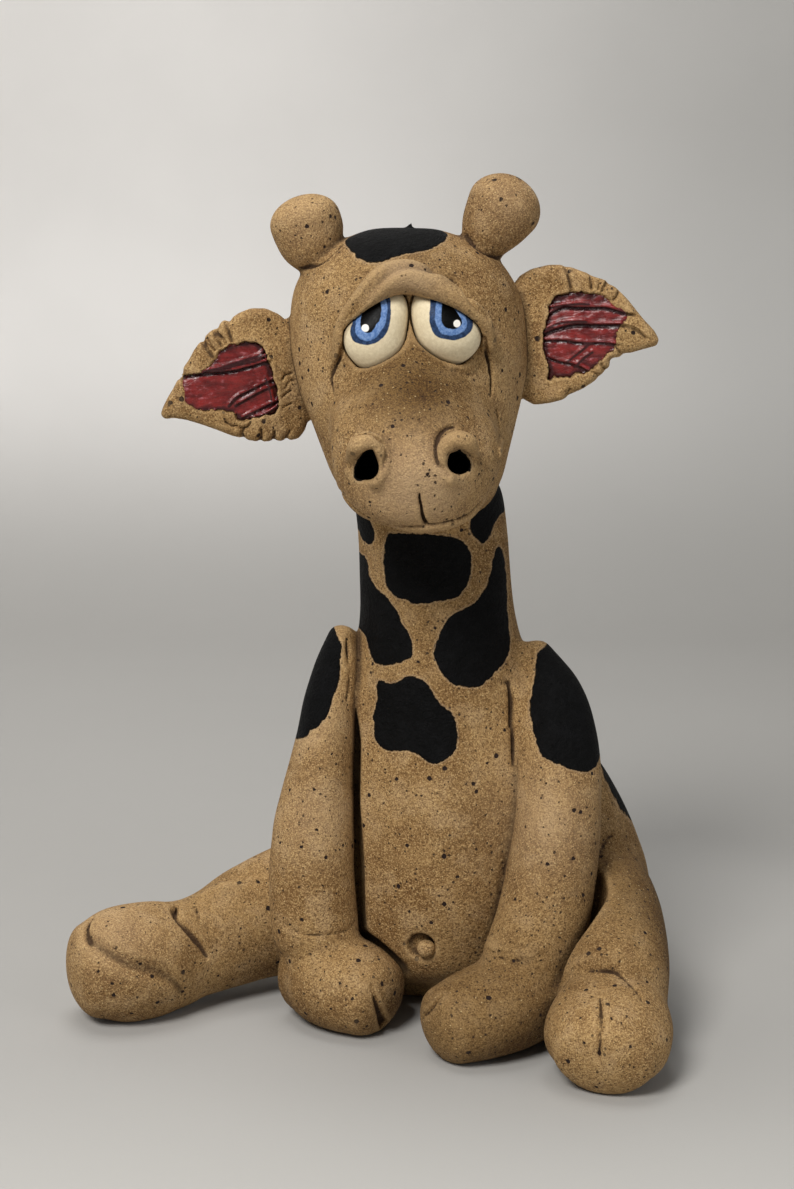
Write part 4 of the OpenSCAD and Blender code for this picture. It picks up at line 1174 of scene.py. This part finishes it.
# ears: pinched rims round a sunk panel of red glaze that is scratched along its length
EARS = {
    "right_ear": dict(
        outline=[(-63, 143), (-61.5, 146), (-60, 149), (-59, 151), (-57.5, 152), (-57.5, 154),
                 (-56, 156), (-55, 158), (-53.5, 160), (-52.5, 159.5), (-52.5, 161), (-51, 162.5),
                 (-50, 163), (-49.5, 162), (-49, 164), (-48, 165), (-46.5, 164), (-46, 165.5),
                 (-44.5, 166.5), (-42, 167.5), (-38.5, 167.5), (-35.5, 166), (-33.5, 164),
                 (-32, 162), (-22, 160), (-18, 150), (-24, 142.5), (-29, 141), (-29.5, 139),
                 (-31, 137), (-33, 136.5), (-34, 137.5), (-34.5, 136.5), (-36, 136.5),
                 (-37, 137.5), (-37.5, 136.5), (-39.5, 136.5), (-40, 137.5), (-40.5, 136.5),
                 (-43, 137), (-44, 138), (-44.5, 137.5), (-46.5, 138), (-50, 139.5), (-54, 141),
                 (-57, 142), (-60, 142.5), (-62, 142)],
        panel=[(-57.5, 152), (-55.5, 152.5), (-52.5, 153.5), (-50.5, 155.5), (-48, 158.5),
               (-45, 159.5), (-42, 160), (-39.5, 159.5), (-38.5, 158), (-37.5, 155), (-36.5, 152),
               (-36, 149.5), (-35.5, 146.5), (-35.5, 144.5), (-36.5, 143), (-40, 142.5),
               (-43.5, 141.5), (-45, 142), (-46, 143.5), (-50, 144), (-52.5, 144), (-55, 144.5),
               (-57, 146), (-57.5, 149)],
        scratches=[([(-58.5, 151.5), (-56, 152), (-51.5, 152.5), (-46, 153), (-40, 154.5),
                     (-37, 155.5)], 0.5),
                   ([(-52.5, 153), (-48, 154), (-43.5, 155.5), (-40, 156.5), (-38.5, 158)], 0.4),
                   ([(-50, 153), (-45, 154.5), (-40.5, 155.5), (-37.5, 157)], 0.3),
                   ([(-47, 145), (-45, 147), (-42, 148.5), (-39, 150), (-36.5, 151)], 0.4),
                   ([(-45.5, 145), (-40, 148), (-36.5, 149.5)], 0.35),
                   ([(-44, 142), (-39, 144.5), (-35.5, 146)], 0.4),
                   ([(-42, 142), (-38.5, 143), (-35.5, 145)], 0.3),
                   ([(-38.5, 151.5), (-37.5, 148.5), (-37, 145)], 0.2)],
        pinches=[([(-47.5, 165), (-47, 163), (-46, 160)], 0.5),
                 ([(-50.5, 163), (-49.5, 161), (-48.5, 159)], 0.55),
                 ([(-53, 160), (-52, 158.5), (-50.5, 156.5)], 0.65),
                 ([(-49.5, 162), (-48, 160.5), (-47.5, 159.5)], 0.4),
                 ([(-52, 161), (-51, 159), (-50, 158)], 0.4),
                 ([(-58.5, 152), (-57, 152.5), (-56, 152.5)], 0.4),
                 ([(-44, 137.5), (-44, 138.5), (-43.5, 140)], 0.4),
                 ([(-40, 136.5), (-39.5, 138), (-39.5, 139.5)], 0.4),
                 ([(-37, 136.5), (-36.5, 138), (-36.5, 139)], 0.4),
                 ([(-34, 137), (-33.5, 138), (-33, 139)], 0.35),
                 ([(-42, 141), (-43, 140), (-44.5, 140)], 0.3),
                 ([(-48, 141.5), (-46.5, 140.5), (-45, 140.5)], 0.3),
                 ([(-34.5, 151), (-34, 152), (-32.5, 152.5)], 0.3),
                 ([(-34.5, 147), (-33.5, 148), (-32.5, 148.5)], 0.3),
                 ([(-34.5, 144.5), (-33.5, 145), (-32.5, 145.5)], 0.25),
                 ([(-34, 149), (-33, 150.5), (-32, 151)], 0.25)],
        inner=-36, tip=-57),
    "left_ear": dict(
        outline=[(18, 172), (21, 175), (23.5, 176.5), (27.5, 177.5), (30.5, 177.5), (31, 177),
                 (32.5, 177), (35, 176), (36.5, 175.5), (37, 175), (38.5, 174.5), (40.5, 174),
                 (41, 173), (42.5, 172.5), (43.5, 171.5), (44, 171), (45.5, 169.5), (47.5, 167),
                 (49.5, 164.5), (51.5, 162.5), (53, 160.5), (52.5, 159), (50, 158.5), (46.5, 157.5),
                 (44.5, 157.5), (44, 156.5), (42.5, 156.5), (41.5, 156), (41.5, 154), (40.5, 153.5),
                 (40, 152.5), (39, 152), (38.5, 151), (35.5, 149), (32, 147.5), (31.5, 146.5),
                 (28, 145.5), (24.5, 145), (22, 146.5), (20.5, 148.5), (12, 150), (8, 160),
                 (12, 170)],
        panel=[(29, 170.5), (31, 171), (33.5, 171.5), (36.5, 171), (39, 171), (41, 170), (42, 168.5),
               (44.5, 167.5), (45.5, 166.5), (45, 164.5), (43.5, 163), (43, 161), (43, 159),
               (41, 157), (39, 155), (37, 153), (34.5, 152.5), (31.5, 151.5), (29, 151.5),
               (27.5, 151), (27.5, 154), (26.5, 157), (26, 161.5), (27, 165.5), (27.5, 168.5)],
        scratches=[([(27.5, 166), (30.5, 167.5), (34, 167.5), (37.5, 167.5), (40.5, 167.5),
                     (44, 166.5), (47.5, 166)], 0.5),
                   ([(27.5, 167.5), (30, 168), (33.5, 168.5), (36.5, 168.5)], 0.3),
                   ([(26.5, 161.5), (29, 162.5), (33, 163.5), (36.5, 163.5), (40.5, 163.5),
                     (44.5, 163.5), (47.5, 162.5), (50, 160.5)], 0.6),
                   ([(26.5, 162.5), (29.5, 164), (33, 164.5), (36, 164.5)], 0.3),
                   ([(26.5, 160), (31, 160), (34.5, 159.5), (40.5, 159.5), (44, 159)], 0.4),
                   ([(27.5, 156), (30.5, 155), (33.5, 154.5), (36.5, 153)], 0.4),
                   ([(31.5, 155), (34, 157), (37, 159.5)], 0.3),
                   ([(33.5, 154), (35.5, 156), (37.5, 157.5)], 0.3)],
        pinches=[([(31, 177.5), (31.5, 175.5), (32.5, 171.5)], 0.45),
                 ([(37, 175.5), (37, 174), (37, 172)], 0.4),
                 ([(41, 173.5), (40, 172.5), (39.5, 171.5)], 0.45),
                 ([(43.5, 171.5), (43, 170.5), (42, 169.5)], 0.4),
                 ([(39, 174), (39, 173), (38.5, 172)], 0.3),
                 ([(41, 153.5), (40, 154), (39.5, 155)], 0.4),
                 ([(39, 152), (38.5, 152.5), (37.5, 153)], 0.3),
                 ([(44, 157), (43.5, 158), (43, 158.5)], 0.35),
                 ([(31.5, 146.5), (32, 148), (32.5, 149)], 0.3)],
        inner=27, tip=45)}


def scratch_marks(points, scratches):
    """Distance from the nearest scratch, as a multiple of its radius."""
    best = np.full(len(points), 9.0)
    for line, radius in scratches:
        line = smooth_path(line, 4)
        for a, b in zip(line[:-1], line[1:]):
            t = np.clip(((points[:, [0, 2]] - a) @ (b - a)) / ((b - a) @ (b - a)), 0, 1)
            gone = np.hypot(*(points[:, [0, 2]] - a - t[:, None] * (b - a)).T)
            best = np.minimum(best, gone / radius)
    return best


for name, ear in EARS.items():
    low, high = box_of(name)
    block = refine(low - MARGIN, high + MARGIN, STEP["ear"])
    carve(block)
    s, (x, y, z) = block.window(low - MARGIN, high + MARGIN)
    # a flat plate cut to the pinched outline, rounded, gives the rim its exact edge
    rows = np.array(sorted(LEFT_EAR if name == "left_ear" else RIGHT_EAR))
    across = y - np.interp(x, rows[:, 0], rows[:, 1])
    shape = outline_distance(x, z, ear["outline"]).astype(np.float32)
    plate = smax(shape, np.abs(across) - np.interp(x, rows[:, 0], rows[:, 4]) * 0.8, 2.2)
    trimmed = smax(block.f, shape, 1)
    block.f = smin(trimmed, plate, 1).astype(np.float32)
    block.f = blurred(block.f, 1)
    for points, radius in ear["pinches"]:
        path = smooth_path(on_front(points, block), 4)
        tube(block, path, radius, 0.3)
        tube(block, path + (0, 0.5, 0), radius * 0.7, 0.25)
    columns = np.where(block.f.min(1) < 0, y[0, :, 0][np.argmax(block.f < 0, 1)], 99)
    columns = blurred(np.repeat(np.minimum(columns, 9)[:, None], 3, 1), 1.2)[:, 1]
    behind = (y - columns[:, None]).astype(np.float32)
    wobble = (0.22 * np.sin(1.9 * x + 0.7 * z) * np.sin(1.3 * z - 0.6 * x)
              + 0.13 * np.sin(4.3 * x - 1.1 * z) * np.sin(3.7 * z + 0.4 * x))
    area = (outline_distance(x, z, rounded(ear["panel"], 3)) + wobble).astype(np.float32)
    slope = np.clip((x - ear["tip"]) / (ear["inner"] - ear["tip"]), 0, 1)
    depth = 0.2 + 1.1 * slope + 0.1 * np.clip(-area, 0, 4)
    block.f = smax(block.f, -np.maximum(area, behind - depth), 0.35).astype(np.float32)
    for points, radius in ear["scratches"]:
        taper = radius * np.sin(np.linspace(0.35, 1, len(points)) * np.pi * 0.85) ** 0.5
        path = smooth_path(on_front(points, block), 5)
        tube(block, path, smooth_path(np.atleast_2d(taper).T, 5)[:, 0], 0.2)
        tube(block, path + (0.15, -0.25, 1.1 * radius + 0.15), 0.16, 0.35, raised=True)
    deep = hollows(block, 0.7)
    make(block, name, hollow=deep)
    # the glaze lies on the floor of the panel
    coat = np.maximum(np.maximum(area + 0.12, block.f - 0.2), -(block.f + 0.5))
    coat = np.maximum(coat, behind - depth - 1.8).astype(np.float32)
    points, quads = surface(block, coat)
    marks = {"hollow": -block.at(points, deep) / 0.4, "line": scratch_marks(points, ear["scratches"])}
    hand_in(mesh_object(name + "_glaze", points, quads, marks, RED), "ear_glaze")

# eyes, painted inside outlines of ring, blue and pupil
IRIS = {
    "right_eye": dict(
        ring=[(-18.1, 163), (-17.7, 161.5), (-16.6, 160.7), (-14.1, 160.3), (-12.1, 161),
              (-10.3, 162.6), (-9.6, 164), (-9.3, 165.6), (-9.2, 168.9), (-10, 172), (-14, 173),
              (-16.5, 169), (-17.7, 165.2)],
        blue=[(-17, 163.6), (-16.5, 162.3), (-15.4, 161.4), (-13.9, 161.2), (-12.4, 162),
              (-11.3, 163.5), (-10.4, 164.9), (-10, 167.2), (-10, 169), (-11, 171.5), (-14, 171.5),
              (-16.2, 167.5), (-16.9, 165)],
        pupil=[(-15.9, 164.9), (-15.2, 163.2), (-13.8, 163), (-12.8, 163.9), (-12.2, 165),
               (-11.5, 166), (-11.3, 168.5), (-12, 170.8), (-14.2, 170), (-15.5, 167)],
        glint=(-14.8, 164, 0.82)),
    "left_eye": dict(
        ring=[(-0.5, 168.6), (-0.7, 165.6), (0, 163.4), (1.1, 162.1), (4.2, 161.4), (6.5, 161.8),
              (8.2, 162.9), (9, 164.4), (8.7, 166.2), (7, 170), (2, 172), (-0.3, 171)],
        blue=[(0.8, 169), (0.6, 165.6), (1.1, 164.3), (2, 162.8), (4.2, 162.5), (5.9, 162.8),
              (7.3, 163.9), (7.6, 165.6), (6.6, 167.6), (4, 170.5), (1.4, 171)],
        pupil=[(2.1, 169), (1.9, 166.2), (2.2, 165), (3.1, 164.1), (4.8, 163.8), (6.2, 164.5),
               (6.5, 165.6), (5.4, 167.4), (3.9, 169.5), (2.6, 170)],
        glint=(5.4, 165, 0.8))}
for name, iris in IRIS.items():
    fine = form_field(name, H / EYE_FINER, EYE_FINER * LOW, EYE_FINER * HIGH)
    fine.f = blurred(fine.f, 3.2)
    if name == "right_eye":
        other = form_field("left_eye", fine.h, fine.lo, fine.hi)
        s, t = shared(fine, other)
        fine.f[s] = smax(fine.f[s], 0.2 - other.f[t], 0.2)
    points, quads = surface(fine, fine.f)
    x, z = points[:, 0], points[:, 2]
    marks = {key: outline_distance(x, z, rounded(iris[key], 3)) for key in ("ring", "blue", "pupil")}
    gx, gz, gr = iris["glint"]
    marks["glint"] = np.hypot(x - gx, (z - gz) * 0.97) - gr
    for key in marks:
        marks[key] = np.where(points[:, 1] > EYE_Y + 1, 9, marks[key])
    # closeness to the face clay, where the eye material paints shade on the cream
    marks["hollow"] = np.clip(1 - (face.at(points) + 0.1) / 0.9, 0, 1) * (face.at(points) > -0.3)
    hand_in(mesh_object(name + "_painted", points, quads, marks, EYES), "eye_glaze", name)


# ---- Stage, light and camera -----------------------------------------------------------------

def sweep():
    """Floor that curves up into a backdrop."""
    rows = [(-1.2, 0.0)] + [(0.45 + 0.25 * math.sin(a), 0.25 - 0.25 * math.cos(a))
                            for a in np.linspace(0, math.pi / 2, 14)] + [(0.7, 1.6)]
    xs = np.linspace(-1.5, 1.5, 13)
    points = np.array([(x, y, z) for y, z in rows for x in xs]) / MM
    n = len(xs)
    faces = np.array([(i * n + j, i * n + j + 1, (i + 1) * n + j + 1, (i + 1) * n + j)
                      for i in range(len(rows) - 1) for j in range(n - 1)])
    k = Look("paper", 0.9, 0.2)
    split = k.node("ShaderNodeSeparateXYZ")
    k.link(k.mm, split.inputs[0])
    paper = k.mix(k.ramp(k.noise(90, 3), 0.3, 0.7), rgb(222, 219, 215), rgb(226, 223, 219))
    # painted shade and painted light on the paper: darker towards the right and down on the floor,
    # lighter towards the front of the floor
    paper = k.mix(k.ramp(split.outputs["X"], -130, 230, 0, 0.55), paper, rgb(126, 126, 122))
    paper = k.mix(k.ramp(split.outputs["Z"], 130, 0, 0, 0.85), paper, rgb(152, 150, 146))
    paper = k.mix(k.ramp(split.outputs["Y"], -20, -160, 0, 0.45), paper, rgb(204, 202, 196))
    mesh = mesh_object("backdrop", points, faces, {}, k.finish(paper, None, k.bump(k.noise(1.2), 0.02)))


def soft_light(name, at, towards, size, power, colour=(1, 1, 1)):
    """Round area light aimed at a point, in metres and watts."""
    lamp = bpy.data.lights.new(name, "AREA")
    lamp.shape, lamp.size, lamp.energy, lamp.color = "DISK", size, power, colour
    obj = bpy.data.objects.new(name, lamp)
    bpy.context.scene.collection.objects.link(obj)
    obj.location = at
    obj.rotation_euler = (Vector(towards) - Vector(at)).to_track_quat("-Z", "Y").to_euler()


sweep()
middle = (0, 0, 0.09)
soft_light("key", (-0.45, -0.8, 1.0), middle, 0.5, 15.2, (1, 0.985, 0.965))
soft_light("fill", (0.9, -0.75, 0.5), middle, 0.8, 2.6, (0.97, 0.985, 1))
soft_light("top", (-0.15, 0.1, 1.25), middle, 0.7, 5.5)
world = bpy.data.worlds.new("room")
bpy.context.scene.world = world
world.use_nodes = True
world.node_tree.nodes["Background"].inputs["Color"].default_value = (0.8, 0.82, 0.85, 1)
world.node_tree.nodes["Background"].inputs["Strength"].default_value = 0.22
bpy.context.scene.view_settings.view_transform = "Standard"

LENS, SENSOR = 60, 36                      # mm
CAMERA_AT = (-0.0078, -0.467, 0.182)       # metres
CAMERA_PITCH = 80                          # degrees, ten below level
camera = bpy.data.cameras.new("camera")
camera.lens, camera.sensor_width = LENS, SENSOR
camera.clip_start = 0.01
view = bpy.data.objects.new("camera", camera)
bpy.context.scene.collection.objects.link(view)
view.location = CAMERA_AT
view.rotation_euler = (math.radians(CAMERA_PITCH), 0, 0)
bpy.context.scene.camera = view
